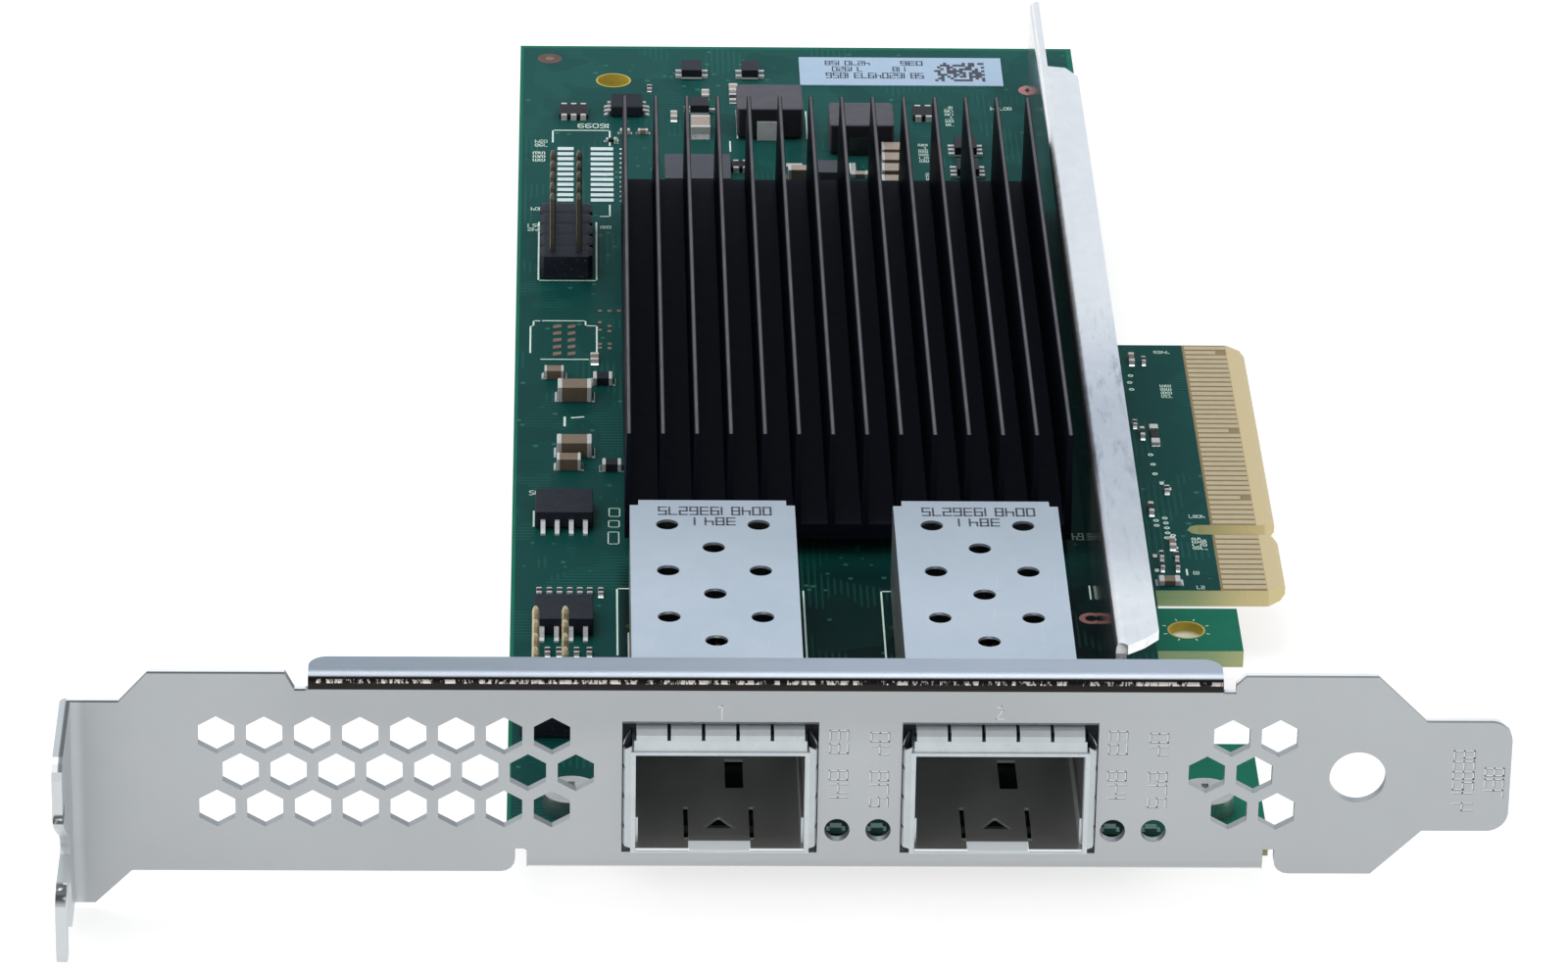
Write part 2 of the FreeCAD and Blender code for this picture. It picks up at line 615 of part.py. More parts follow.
# ---------------------------------------------------------------- cages
VENTS = [(-4.0, 41.5), (4.0, 41.5), (0.0, 37.07), (-4.0, 32.6), (4.0, 32.6),
         (0.0, 28.2), (-4.0, 23.8), (4.0, 23.8), (0.0, 19.4)]
w, hgt, ct, yf = d("cage_w"), d("cage_h"), d("cage_t"), d("cage_far")
for n, cx in ((1, d("cage1_x")), (2, d("cage2_x"))):
    tag = "cage_cover_%d" % n
    # cover: roof, two sides and back
    outer = box(tag + "_outer", cx - w / 2, 0.0, 0.35, w, yf, hgt - 0.35)
    inner = box(tag + "_inner", cx - w / 2 + ct, -1.0, -1.0, w - ct * 2, yf - ct + 1.0, hgt - ct + 1.0)
    tools = [inner]
    for k, (vx, vy) in enumerate(VENTS):
        tools.append(cyl("%s_vent_%d" % (tag, k), cx + vx, vy, hgt - 1.0, d("vent_r"), 2.0))
    # stepped far corners of the roof
    for k, sgn in enumerate((-1, 1)):
        x0 = cx - w / 2 - 0.01 if sgn < 0 else cx + w / 2 - 0.75
        tools.append(box("%s_step_%d" % (tag, k), x0, yf - 1.0, hgt - 0.6, 0.76, 1.01, 1.0))
    shell = cut(tag + "_shell", outer, fuse(tag + "_tools", tools))
    pins = []
    for y in (12.0, 26.0, 40.0):
        for k, x0 in enumerate((cx - w / 2, cx + w / 2 - ct)):
            pins.append(box("%s_pin_%d_%d" % (tag, int(y), k), x0, y - 0.35, -d("board_t") - 0.6, ct, 0.7, d("board_t") + 1.2))
    node(fuse(tag + "_all", [shell] + pins), tag)
    # base: floor with upturned sides, latch tongue and latch window
    tag = "cage_base_%d" % n
    g = 0.02
    fl_x, fl_w = cx - w / 2 + ct + g, w - ct * 2 - g * 2
    floor = box(tag + "_floor", fl_x, -1.05, 0.18, fl_w, yf - ct - 4.95, ct)
    lefts = box(tag + "_left", fl_x, 0.0, 0.18, 0.2, yf - ct - 6.0, 2.6)
    rights = box(tag + "_right", cx + w / 2 - ct - g - 0.2, 0.0, 0.18, 0.2, yf - ct - 6.0, 2.6)
    slots = [box("%s_slot_%d" % (tag, k), cx + s, 0.45, -0.5, 0.38, 5.7, 1.2) for k, s in enumerate((-2.93, 2.55))]
    key = box(tag + "_key", cx + 0.66, 9.5, -0.5, 1.54, 5.1, 1.2)
    win = doc.addObject("Part::Wedge", tag + "_window")
    win.Xmin, win.Xmax, win.X2min, win.X2max = 0.0, 2.8, 1.3, 1.5
    win.Ymin, win.Ymax = 0.0, 1.9
    win.Zmin, win.Zmax, win.Z2min, win.Z2max = 0.0, 1.4, 0.0, 1.4
    bind(win, "Placement.Base.x", cx - 1.4)
    bind(win, "Placement.Base.y", 2.45)
    bind(win, "Placement.Base.z", -0.5)
    # lead-in: the middle of the front edge is coined down to a ramp
    ramp = doc.addObject("Part::Wedge", tag + "_ramp")
    ramp.Xmin, ramp.Xmax, ramp.X2min, ramp.X2max = 0.0, 5.1, 0.0, 5.1
    ramp.Ymin, ramp.Ymax = 0.0, 2.2
    ramp.Zmin, ramp.Zmax, ramp.Z2min, ramp.Z2max = 0.0, 0.6, 0.21, 0.6
    bind(ramp, "Placement.Base.x", cx - 2.55)
    bind(ramp, "Placement.Base.y", -1.1)
    bind(ramp, "Placement.Base.z", 0.22)
    node(cut(tag + "_cut", fuse(tag + "_fold", [floor, lefts, rights]), fuse(tag + "_open", slots + [win, key, ramp])), tag)


# spring-finger collars: thin formed strips round each mouth
def strip(points, thick, axis, start, width):
    """Extrude a thin bowed strip given by its centre line points (y, out)."""
    n = len(points)
    left, right = [], []
    for i, p in enumerate(points):
        a = points[max(i - 1, 0)]
        b = points[min(i + 1, n - 1)]
        dx, dy = b[0] - a[0], b[1] - a[1]
        ln = math.hypot(dx, dy)
        nx, ny = -dy / ln * thick / 2, dx / ln * thick / 2
        left.append((p[0] + nx, p[1] + ny))
        right.append((p[0] - nx, p[1] - ny))
    ring = left + right[::-1]
    if axis == "x":
        pts = [V(start, y, o) for y, o in ring]
        vec = V(width, 0, 0)
    elif axis == "z+":
        pts = [V(o, y, start) for y, o in ring]
        vec = V(0, 0, width)
    else:
        pts = [V(-o, y, start) for y, o in ring]
        vec = V(0, 0, width)
    pts.append(pts[0])
    return Part.Face(Part.makePolygon(pts)).extrude(vec)


def frame_ring(x0, x1, z0, z1, y0, y1, thick):
    a = Part.makeBox(x1 - x0, y1 - y0, z1 - z0, V(x0, y0, z0))
    b = Part.makeBox(x1 - x0 - 2 * thick, y1 - y0 + 2, z1 - z0 - 2 * thick, V(x0 + thick, y0 - 1, z0 + thick))
    return a.cut(b)


for n, cx in ((1, d("cage1_x").v), (2, d("cage2_x").v)):
    hw, top, th = w.v / 2, hgt.v, 0.13
    gap = 0.02
    x0, x1 = cx - hw - gap - th, cx + hw + gap + th
    z0, z1 = 0.02, top + gap + th
    # band that grips the cage, the flat flange behind the bracket, and the rolled mouth in front of it
    solid = frame_ring(x0, x1, z0, z1, 2.4, 3.4, th)
    fx, fz = d("cut_w").v / 2 + 0.3, d("cut_top").v + 0.3
    rear = Part.makeBox(2 * fx, 0.13, fz - z0, V(cx - fx, 2.4, z0)).cut(
        Part.makeBox(x1 - x0 - th * 2, 1.0, z1 - th - 0.01, V(x0 + th, 2.0, z0 - 0.01)))
    mouth = Part.makeBox(x1 - x0, 0.35, z1 - z0, V(x0, -1.1, z0)).cut(
        Part.makeBox(2 * hw - 0.5, 2.0, top - 0.32, V(cx - hw + 0.25, -1.5, 0.17)))
    pieces = [rear, mouth]
    rise = (d("cut_top").v - 0.08) - top
    side = (d("cut_w").v / 2 - 0.05) - hw
    # continuous band above the mouth, then five fingers bowed up to the cut-out
    prof_band = [(-0.86, top + 0.05), (-0.80, top + 0.5), (-0.66, top + 1.02)]
    pieces.append(strip(prof_band, th, "x", cx - hw + 0.12, 2 * hw - 0.24))
    prof_top = [(-0.68, top + 0.97), (-0.50, top + rise * 0.70), (-0.1, top + rise * 0.88), (0.5, top + rise - 0.08),
                (1.2, top + rise * 0.80), (1.9, top + rise * 0.42), (2.45, top + gap + th / 2)]
    step = 2.84
    for k in range(5):
        pieces.append(strip(prof_top, th, "x", cx + (k - 2.5) * step + 0.15, step - 0.30))
    for axis, sgn in (("z+", 1), ("z-", -1)):
        base = cx if sgn > 0 else -cx
        prof = [(-0.86, base + hw + 0.06), (-0.5, base + hw + side * 0.72), (0.1, base + hw + side - 0.07),
                (0.7, base + hw + side - 0.07), (1.4, base + hw + side * 0.72), (2.45, base + hw + gap + th / 2)]
        wing = strip(prof, th, axis, 0.35, top + 0.35)
        for zc in (1.95, 4.75, 7.5):
            slit = Part.makeBox(2.2, 2.9, 0.26, V(-1.1, -0.5, -0.13))
            slit.rotate(V(0, 0, 0), V(0, 1, 0), -35.0 * sgn)
            slit.translate(V(cx + sgn * (hw + side * 0.55), 0, zc))
            wing = wing.cut(slit)
        # slanted upper end
        tip_ = Part.makeBox(3.0, 4.0, 2.0, V(-1.5, -1.2, 0.0))
        tip_.rotate(V(0, 0, 0), V(0, 1, 0), 40.0 * sgn)
        tip_.translate(V(cx + sgn * (hw + 0.05), 0, top + 0.60))
        wing = wing.cut(tip_)
        pieces.append(wing)
    for p in pieces:
        solid = solid.fuse(p)
    solid = solid.removeSplitter()
    f = doc.addObject("Part::Feature", "gasket_strip_%d" % n)
    f.Shape = solid
    node(f, "gasket_%d" % n)

# host connectors inside the cages
contacts = []
for n, cx in ((1, d("cage1_x")), (2, d("cage2_x"))):
    tag = "socket_%d" % n
    blk = box(tag + "_block", cx - 5.6, 31.0, 0.44, 11.2, 8.6, 6.2)
    mouth_ = box(tag + "_mouth", cx - 4.9, 30.5, 2.6, 9.8, 6.6, 1.6)
    node(cut(tag + "_cut", blk, mouth_), tag)
    for k in range(10):
        for zz in (2.62, 3.98):
            contacts.append(box("socket_contact_%d_%d_%d" % (n, k, int(zz * 10)), cx - 3.85 + 0.8 * k, 31.2, zz, 0.4, 5.6, 0.2))
group("socket_contacts", contacts)

# ---------------------------------------------------------------- stiffener
st = new_body("stiffener_body")
sk = new_sketch(st, "wall_outline", "YZ_Plane", d("stiff_x"))
sn, sf, sh = d("stiff_near"), d("stiff_far"), d("stiff_h")
pts = [(sn, 0.1)]
for y in (24.0, 89.0, 152.0):
    pts += [(y - 1.5, 0.1), (y - 1.5, -1.9), (y + 1.5, -1.9), (y + 1.5, 0.1)]
pts += [(sf, 0.1), (sf, sh - 1.0), (sf - 0.5, sh), (sn + 0.9, sh), (sn, sh - 0.9)]
poly(sk, pts)
wall = pad(st, sk, "wall", d("stiff_t"))
sk = new_sketch(st, "flange_plan", "XY_Plane", sh - d("stiff_t"))
sx = d("stiff_x")
ff = sf - d("stiff_gap")
poly(sk, [(sx, sn + 0.9), (sx + 1.0, sn - 0.2), (sx + d("stiff_w") - 1.3, sn + 1.0), (sx + d("stiff_w"), sn + 2.6),
          (sx + d("stiff_w"), ff - 2.2), (sx + d("stiff_w") - 1.2, ff), (sx, ff + 0.6)])
flg = pad(st, sk, "flange", d("stiff_t"))


def is_stiff_bend(e):
    c = e.CenterOfMass
    return along(e, "y") and near(c.x, d("stiff_x").v) and near(c.z, sh.v) and e.Length > 50


stb = fillet(st, flg, "bend", 0.85, is_stiff_bend)
st.Tip = stb
node(st, "stiffener")

# ---------------------------------------------------------------- headers
hb = box("header_block", -21.1, 113.1, 0.0, 5.1, 12.7, 2.5)
notches = []
for k in range(4):
    for s, x in enumerate((-21.2, -16.2)):
        notches.append(box("header_notch_%d_%d" % (k, s), x, 115.44 + 2.54 * k - 0.35, -0.5, 0.4, 0.7, 3.5))
for k in range(5):
    for s, x in enumerate((-19.85, -17.31)):
        notches.append(cyl("header_bore_%d_%d" % (k, s), x, 114.4 + 2.54 * k, -0.5, 0.46, 4.0))
node(cut("header_cut", hb, fuse("header_tools", notches)), "header_body")
hp = []
for k in range(5):
    for s, x in enumerate((-19.85, -17.31)):
        y = 114.4 + 2.54 * k
        hp.append(box("header_pin_%d_%d" % (k, s), x - 0.32, y - 0.32, -d("board_t") - 1.0, 0.64, 0.64, d("board_t") + 9.5))
group("header_pins", hp)
jb = box("jumper_block", -22.27, 19.13, 0.0, 5.08, 10.16, 2.5)
tools = []
for k in range(4):
    for s, x in enumerate((-21.0, -18.46)):
        tools.append(cyl("jumper_bore_%d_%d" % (k, s), x, 20.4 + 2.54 * k, -0.5, 0.46, 4.0))
for k in range(3):
    for s, x in enumerate((-22.37, -17.59)):
        tools.append(box("jumper_notch_%d_%d" % (k, s), x, 21.67 + 2.54 * k - 0.35, -0.5, 0.5, 0.7, 3.5))
node(cut("jumper_cut", jb, fuse("jumper_tools", tools)), "jumper_body")
jp = []
for k in range(4):
    for s, x in enumerate((-21.0, -18.46)):
        y = 20.4 + 2.54 * k
        jp.append(box("jumper_pin_%d_%d" % (k, s), x - 0.32, y - 0.32, -d("board_t") - 1.0, 0.64, 0.64, d("board_t") + 9.1))
group("jumper_pins", jp)

# ---------------------------------------------------------------- chips
SOIC = [(-18.6, 61.6), (-18.6, 40.6)]
fc, fl_ = [], []
for n, (cx, cy) in enumerate(SOIC):
    # leads run along the board; body 5.3 wide, 3.9 long
    fc.append(box("flash_chip_%d" % n, cx - 2.6, cy - 2.4, 0.15, 5.2, 4.8, 1.55))
    for k in range(4):
        x = cx - 1.905 + 1.27 * k
        for s in (-1, 1):
            # gull-wing lead
            y0 = cy - 2.4 if s < 0 else cy + 2.4
            prof = [V(x - 0.21, y0, 0.75), V(x - 0.21, y0, 0.95), V(x - 0.21, y0 + s * 0.45, 0.95),
                    V(x - 0.21, y0 + s * 0.75, 0.2), V(x - 0.21, y0 + s * 1.35, 0.2), V(x - 0.21, y0 + s * 1.35, 0.0),
                    V(x - 0.21, y0 + s * 0.6, 0.0), V(x - 0.21, y0 + s * 0.3, 0.75)]
            prof.append(prof[0])
            lead = Part.Face(Part.makePolygon(prof)).extrude(V(0.42, 0, 0))
            f = doc.addObject("Part::Feature", "flash_lead_%d_%d_%d" % (n, k, s + 1))
            f.Shape = lead
            fl_.append(f)
group("flash_chips", fc)
group("flash_leads", fl_)

IND = [(-1.5, 146.9, 6.6, 6.3, 3.4), (7.65, 143.15, 6.45, 5.8, 3.3)]
ib, it = [], []
for n, (x, y, lx, ly, lz) in enumerate(IND):
    ib.append(box("inductor_%d" % n, x, y, 0.15, lx, ly, lz - 0.15))
    cxm = x + lx / 2
    it.append(box("inductor_end_a_%d" % n, cxm - 1.3, y - 0.2, 0.0, 2.6, 0.2, 2.0))
    it.append(box("inductor_end_b_%d" % n, cxm - 1.3, y + ly, 0.0, 2.6, 0.2, 2.0))
group("inductors", ib)
group("inductor_terminals", it)

group("regulator_chips", [
    box("regulator_0", -8.8, 135.0, 0.0, 6.5, 6.0, 1.0),
    box("regulator_1", 6.4, 136.9, 0.0, 2.5, 3.0, 0.9),
])
group("small_chips", [
    box("small_chip_0", -14.1, 152.3, 0.1, 3.2, 3.4, 1.1),
    box("small_chip_1", -15.95, 89.25, 0.1, 1.8, 1.55, 0.7),
    box("small_chip_2", -15.15, 70.9, 0.1, 1.75, 1.3, 0.7),
])
BIGCAPS = [(-19.25, 85.7, 3.15, 2.05, 1.5), (-19.3, 73.85, 3.2, 2.0, 1.5), (-19.3, 71.15, 2.2, 1.5, 1.15), (-20.5, 90.6, 1.8, 1.3, 0.9),
           (12.55, 133.0, 2.1, 1.9, 1.6), (12.65, 135.85, 2.1, 1.9, 1.6), (12.75, 138.5, 2.1, 1.9, 1.6), (12.8, 141.05, 2.1, 1.9, 1.6),
           (-6.1, 147.1, 1.95, 3.0, 1.3), (3.4, 137.0, 2.4, 1.3, 1.1)]
group("large_capacitors", [box("large_capacitor_%d" % i, x, y, 0.0, lx, ly, lz) for i, (x, y, lx, ly, lz) in enumerate(BIGCAPS)])
# small chip capacitors (0402/0603 style): x, y, length along x, length along y
SMALLCAPS = [
    (-16.2, 94.0, 0.8, 1.6), (9.6, 137.4, 1.9, 0.9), (-4.9, 157.0, 0.8, 1.6), (-8.1, 151.5, 0.7, 1.6), (-2.1, 158.4, 0.9, 1.7),
    (34.5, 94.3, 0.55, 1.9), (35.7, 94.3, 0.4, 1.1), (34.0, 80.6, 0.4, 1.0), (34.55, 78.3, 0.45, 1.8),
    (34.3, 62.4, 0.5, 2.0), (36.0, 66.8, 0.5, 1.0), (35.7, 55.5, 0.6, 1.8), (34.3, 48.35, 1.9, 1.2),
    (34.65, 53.2, 0.4, 1.3), (34.6, 51.2, 0.4, 1.3), (36.0, 53.1, 0.4, 1.3), (35.95, 51.2, 0.4, 1.3),
    (-21.04, 45.7, 0.5, 1.0), (-20.12, 45.7, 0.5, 1.0), (-19.22, 45.7, 0.5, 1.0), (-18.32, 45.7, 0.5, 1.0),
    (-17.43, 45.7, 0.5, 1.0), (-16.55, 45.7, 0.5, 1.0), (-15.59, 45.7, 0.5, 1.0),
    (-20.25, 34.2, 0.5, 1.0), (-19.25, 34.2, 0.5, 1.0), (-17.71, 34.2, 0.5, 1.0), (-16.6, 34.2, 0.5, 1.0),
    (-13.2, 148.0, 1.0, 0.5), (-11.4, 148.0, 1.0, 0.5),
]
group("small_capacitors", [box("small_capacitor_%d" % i, x, y, 0.0, lx, ly, 0.5) for i, (x, y, lx, ly) in enumerate(SMALLCAPS)])
RES = [
    (35.5, 77.0, 0.8, 3.9), (-10.4, 159.0, 0.5, 1.0), (-14.6, 146.0, 1.0, 0.5), (-2.1, 156.2, 0.9, 1.7),
]
group("resistors", [box("resistor_%d" % i, x, y, 0.0, lx, ly, 0.35) for i, (x, y, lx, ly) in enumerate(RES)])
ARR = [(-19.29, 151.5, 2.9, 3.1), (16.35, 151.6, 2.1, 3.0), (-2.2, 138.6, 1.9, 2.0)]
group("resistor_arrays", [box("resistor_array_%d" % i, x, y, 0.0, lx, ly, 0.6) for i, (x, y, lx, ly) in enumerate(ARR)])
# small leaded parts: body x, y, length along x and y, then the legs' y offsets on each side
SOT = [(-6.87, 162.0, 2.06, 2.6, (0.4, 1.6), (0.4, 1.6)), (-0.75, 162.0, 1.7, 2.6, (0.4, 1.6), (0.4, 1.6)),
       (-6.1, 152.9, 1.9, 2.2, (0.3, 1.3), (0.8,)),
       (20.15, 142.7, 2.2, 2.8, (0.25, 1.2, 2.15), (0.25, 1.2, 2.15)), (20.15, 137.4, 2.2, 2.8, (0.25, 1.2, 2.15), (0.25, 1.2, 2.15))]
sots = []
for i, (x, y, lx, ly, left, right) in enumerate(SOT):
    body_ = box("transistor_body_%d" % i, x, y, 0.1, lx, ly, 1.0)
    legs = [box("transistor_leg_a_%d_%d" % (i, k), x - 0.6, y + dy, 0.0, 0.7, 0.4, 0.3) for k, dy in enumerate(left)]
    legs += [box("transistor_leg_b_%d_%d" % (i, k), x + lx - 0.1, y + dy, 0.0, 0.7, 0.4, 0.3) for k, dy in enumerate(right)]
    sots.append(fuse("transistor_%d" % i, [body_] + legs))
group("transistors", sots)
leds = []
for i, x in enumerate((4.17, 7.59, 27.1, 30.5)):
    a = box("led_block_%d" % i, x - 0.8, 2.3, 0.0, 1.6, 0.8, 0.3)
    b = box("led_lens_%d" % i, x - 0.5, 2.3, 0.2, 1.0, 0.8, 0.4)
    leds.append(fuse("led_%d" % i, [a, b]))
group("indicator_leds", leds)
lab = box("label_sheet", 5.2, 160.7, 0.0, 20.7, 7.2, 0.1)
node(lab, "label")
lab.setExpression("Placement.Base.y", "160.7 - dims.origin_y")

# ---------------------------------------------------------------- checks and export
doc.recompute()
bad = []
for o in doc.Objects:
    if any(s in ("Invalid", "Error") for s in o.State):
        bad.append((o.Name, o.State))
for o in NODES:
    s = o.Shape
    if s.isNull() or not s.isValid() or not s.Solids:
        bad.append((o.Label, "shape"))
if bad:
    raise RuntimeError("failed objects: %s" % bad)
os.makedirs("parts", exist_ok=True)
for o in NODES:
    o.Shape.exportStep("parts/%s.step" % o.Label)
    bb = o.Shape.BoundBox
    print("%-22s solids %3d vol %9.2f  x %.2f..%.2f y %.2f..%.2f z %.2f..%.2f" % (
        o.Label, len(o.Shape.Solids), o.Shape.Volume, bb.XMin, bb.XMax, bb.YMin, bb.YMax, bb.ZMin, bb.ZMax))
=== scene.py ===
import math
import random

import bmesh
import bpy
from mathutils import Matrix, Vector


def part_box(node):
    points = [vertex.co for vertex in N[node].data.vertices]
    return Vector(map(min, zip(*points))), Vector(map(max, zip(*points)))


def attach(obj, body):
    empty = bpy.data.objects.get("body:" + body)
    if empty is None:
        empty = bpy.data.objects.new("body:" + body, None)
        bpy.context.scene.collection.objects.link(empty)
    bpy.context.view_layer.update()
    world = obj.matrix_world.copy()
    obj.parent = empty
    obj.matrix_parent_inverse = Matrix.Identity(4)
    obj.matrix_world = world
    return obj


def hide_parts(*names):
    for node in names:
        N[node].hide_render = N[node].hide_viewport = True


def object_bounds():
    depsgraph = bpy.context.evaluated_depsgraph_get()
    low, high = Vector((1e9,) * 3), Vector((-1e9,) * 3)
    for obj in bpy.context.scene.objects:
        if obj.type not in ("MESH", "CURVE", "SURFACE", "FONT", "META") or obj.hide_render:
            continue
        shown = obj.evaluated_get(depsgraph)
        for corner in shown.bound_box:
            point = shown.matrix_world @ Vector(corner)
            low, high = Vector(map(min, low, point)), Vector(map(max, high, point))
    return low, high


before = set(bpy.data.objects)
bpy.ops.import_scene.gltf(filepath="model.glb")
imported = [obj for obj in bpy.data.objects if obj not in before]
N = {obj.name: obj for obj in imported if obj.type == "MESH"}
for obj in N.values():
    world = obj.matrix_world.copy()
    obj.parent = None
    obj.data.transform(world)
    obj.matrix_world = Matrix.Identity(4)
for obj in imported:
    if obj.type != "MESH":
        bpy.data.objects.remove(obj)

CAD_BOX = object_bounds()
MM = 0.001
OY, OZ = 79.635, 5.45          # card frame to row frame, millimetres
rnd = random.Random(8420)
sc = bpy.context.scene


def P(x, y, z):
    """Card-frame millimetres to row-frame metres."""
    return Vector((x * MM, (y - OY) * MM, (z + OZ) * MM))


def lin(r, g, b, k=1.0):
    def f(c):
        c = c / 255.0
        return (c / 12.92 if c <= 0.04045 else ((c + 0.055) / 1.055) ** 2.4) * k
    return (f(r), f(g), f(b), 1.0)


# ------------------------------------------------------------------ node helpers
class Mat:
    def __init__(self, name):
        self.m = bpy.data.materials.new(name)
        self.m.use_nodes = True
        self.nt = self.m.node_tree
        self.b = [n for n in self.nt.nodes if n.type == "BSDF_PRINCIPLED"][0]
        tc = self.nt.nodes.new("ShaderNodeTexCoord")
        sm = self.nt.nodes.new("ShaderNodeVectorMath")
        sm.operation = "SCALE"
        self.nt.links.new(tc.outputs["Object"], sm.inputs[0])
        sm.inputs["Scale"].default_value = 1000.0
        self.mm = sm.outputs[0]           # row-frame position in millimetres
        sep = self.nt.nodes.new("ShaderNodeSeparateXYZ")
        self.nt.links.new(self.mm, sep.inputs[0])
        self.x, self.y, self.z = sep.outputs
        self._nrm = None

    def put(self, sock, v):
        if hasattr(v, "links") or isinstance(v, bpy.types.NodeSocket):
            self.nt.links.new(v, sock)
        else:
            sock.default_value = v

    def normal(self):
        if self._nrm is None:
            g = self.nt.nodes.new("ShaderNodeNewGeometry")
            s = self.nt.nodes.new("ShaderNodeSeparateXYZ")
            self.nt.links.new(g.outputs["Normal"], s.inputs[0])
            self._nrm = s.outputs
        return self._nrm

    def math(self, op, a, b=None, c=None, clamp=False):
        n = self.nt.nodes.new("ShaderNodeMath")
        n.operation = op
        n.use_clamp = clamp
        self.put(n.inputs[0], a)
        if b is not None:
            self.put(n.inputs[1], b)
        if c is not None:
            self.put(n.inputs[2], c)
        return n.outputs[0]

    def step(self, v, lo, hi):
        """0 below lo, 1 above hi, smooth between."""
        n = self.nt.nodes.new("ShaderNodeMapRange")
        n.interpolation_type = "SMOOTHSTEP"
        self.put(n.inputs["Value"], v)
        n.inputs["From Min"].default_value = lo
        n.inputs["From Max"].default_value = hi
        return n.outputs["Result"]

    def band(self, v, lo, hi, s=0.05):
        return self.math("MULTIPLY", self.step(v, lo - s, lo + s), self.math("SUBTRACT", 1.0, self.step(v, hi - s, hi + s)))

    def mul(self, *a):
        r = a[0]
        for q in a[1:]:
            r = self.math("MULTIPLY", r, q)
        return r

    def mix(self, f, a, b):
        n = self.nt.nodes.new("ShaderNodeMix")
        n.data_type = "RGBA"
        self.put(n.inputs[0], f)
        self.put(n.inputs[6], a)
        self.put(n.inputs[7], b)
        return n.outputs[2]

    def vec(self, sx, sy, sz):
        n = self.nt.nodes.new("ShaderNodeVectorMath")
        n.operation = "MULTIPLY"
        self.nt.links.new(self.mm, n.inputs[0])
        n.inputs[1].default_value = (sx, sy, sz)
        return n.outputs[0]

    def noise(self, scale, detail=3.0, rough=0.5, vec=None, dist=0.0):
        n = self.nt.nodes.new("ShaderNodeTexNoise")
        self.nt.links.new(vec if vec is not None else self.mm, n.inputs["Vector"])
        n.inputs["Scale"].default_value = scale
        n.inputs["Detail"].default_value = detail
        n.inputs["Roughness"].default_value = rough
        n.inputs["Distortion"].default_value = dist
        return n.outputs[0]

    def voronoi(self, scale, vec=None, feature="F1", rnd_=1.0):
        n = self.nt.nodes.new("ShaderNodeTexVoronoi")
        n.feature = feature
        self.nt.links.new(vec if vec is not None else self.mm, n.inputs["Vector"])
        n.inputs["Scale"].default_value = scale
        n.inputs["Randomness"].default_value = rnd_
        return n.outputs[0]

    def wave(self, scale, dist=0.0, direction="X", vec=None, detail=2.0):
        n = self.nt.nodes.new("ShaderNodeTexWave")
        n.bands_direction = direction
        self.nt.links.new(vec if vec is not None else self.mm, n.inputs["Vector"])
        n.inputs["Scale"].default_value = scale
        n.inputs["Distortion"].default_value = dist
        n.inputs["Detail"].default_value = detail
        return n.outputs[1]

    def ramp(self, f, stops):
        n = self.nt.nodes.new("ShaderNodeValToRGB")
        self.put(n.inputs[0], f)
        e = n.color_ramp.elements
        while len(e) < len(stops):
            e.new(0.5)
        for el, (p, c) in zip(e, stops):
            el.position = p
            el.color = c if len(c) == 4 else (*c, 1.0)
        return n.outputs[0]

    def rng(self, f, lo, hi):
        n = self.nt.nodes.new("ShaderNodeMapRange")
        self.put(n.inputs["Value"], f)
        n.inputs["To Min"].default_value = lo
        n.inputs["To Max"].default_value = hi
        return n.outputs["Result"]

    def bump(self, h, strength, dist, prev=None):
        n = self.nt.nodes.new("ShaderNodeBump")
        n.inputs["Strength"].default_value = strength
        n.inputs["Distance"].default_value = dist * MM
        self.put(n.inputs["Height"], h)
        if prev is not None:
            self.nt.links.new(prev, n.inputs["Normal"])
        return n.outputs[0]

    def set(self, **kw):
        names = {"color": "Base Color", "rough": "Roughness", "metal": "Metallic", "normal": "Normal", "coat": "Coat Weight",
                 "coat_rough": "Coat Roughness", "spec": "Specular IOR Level", "ior": "IOR", "trans": "Transmission Weight",
                 "aniso": "Anisotropic", "sss": "Subsurface Weight", "emit": "Emission Color", "emit_k": "Emission Strength"}
        for k, v in kw.items():
            self.put(self.b.inputs[names[k]], v)
        return self.m


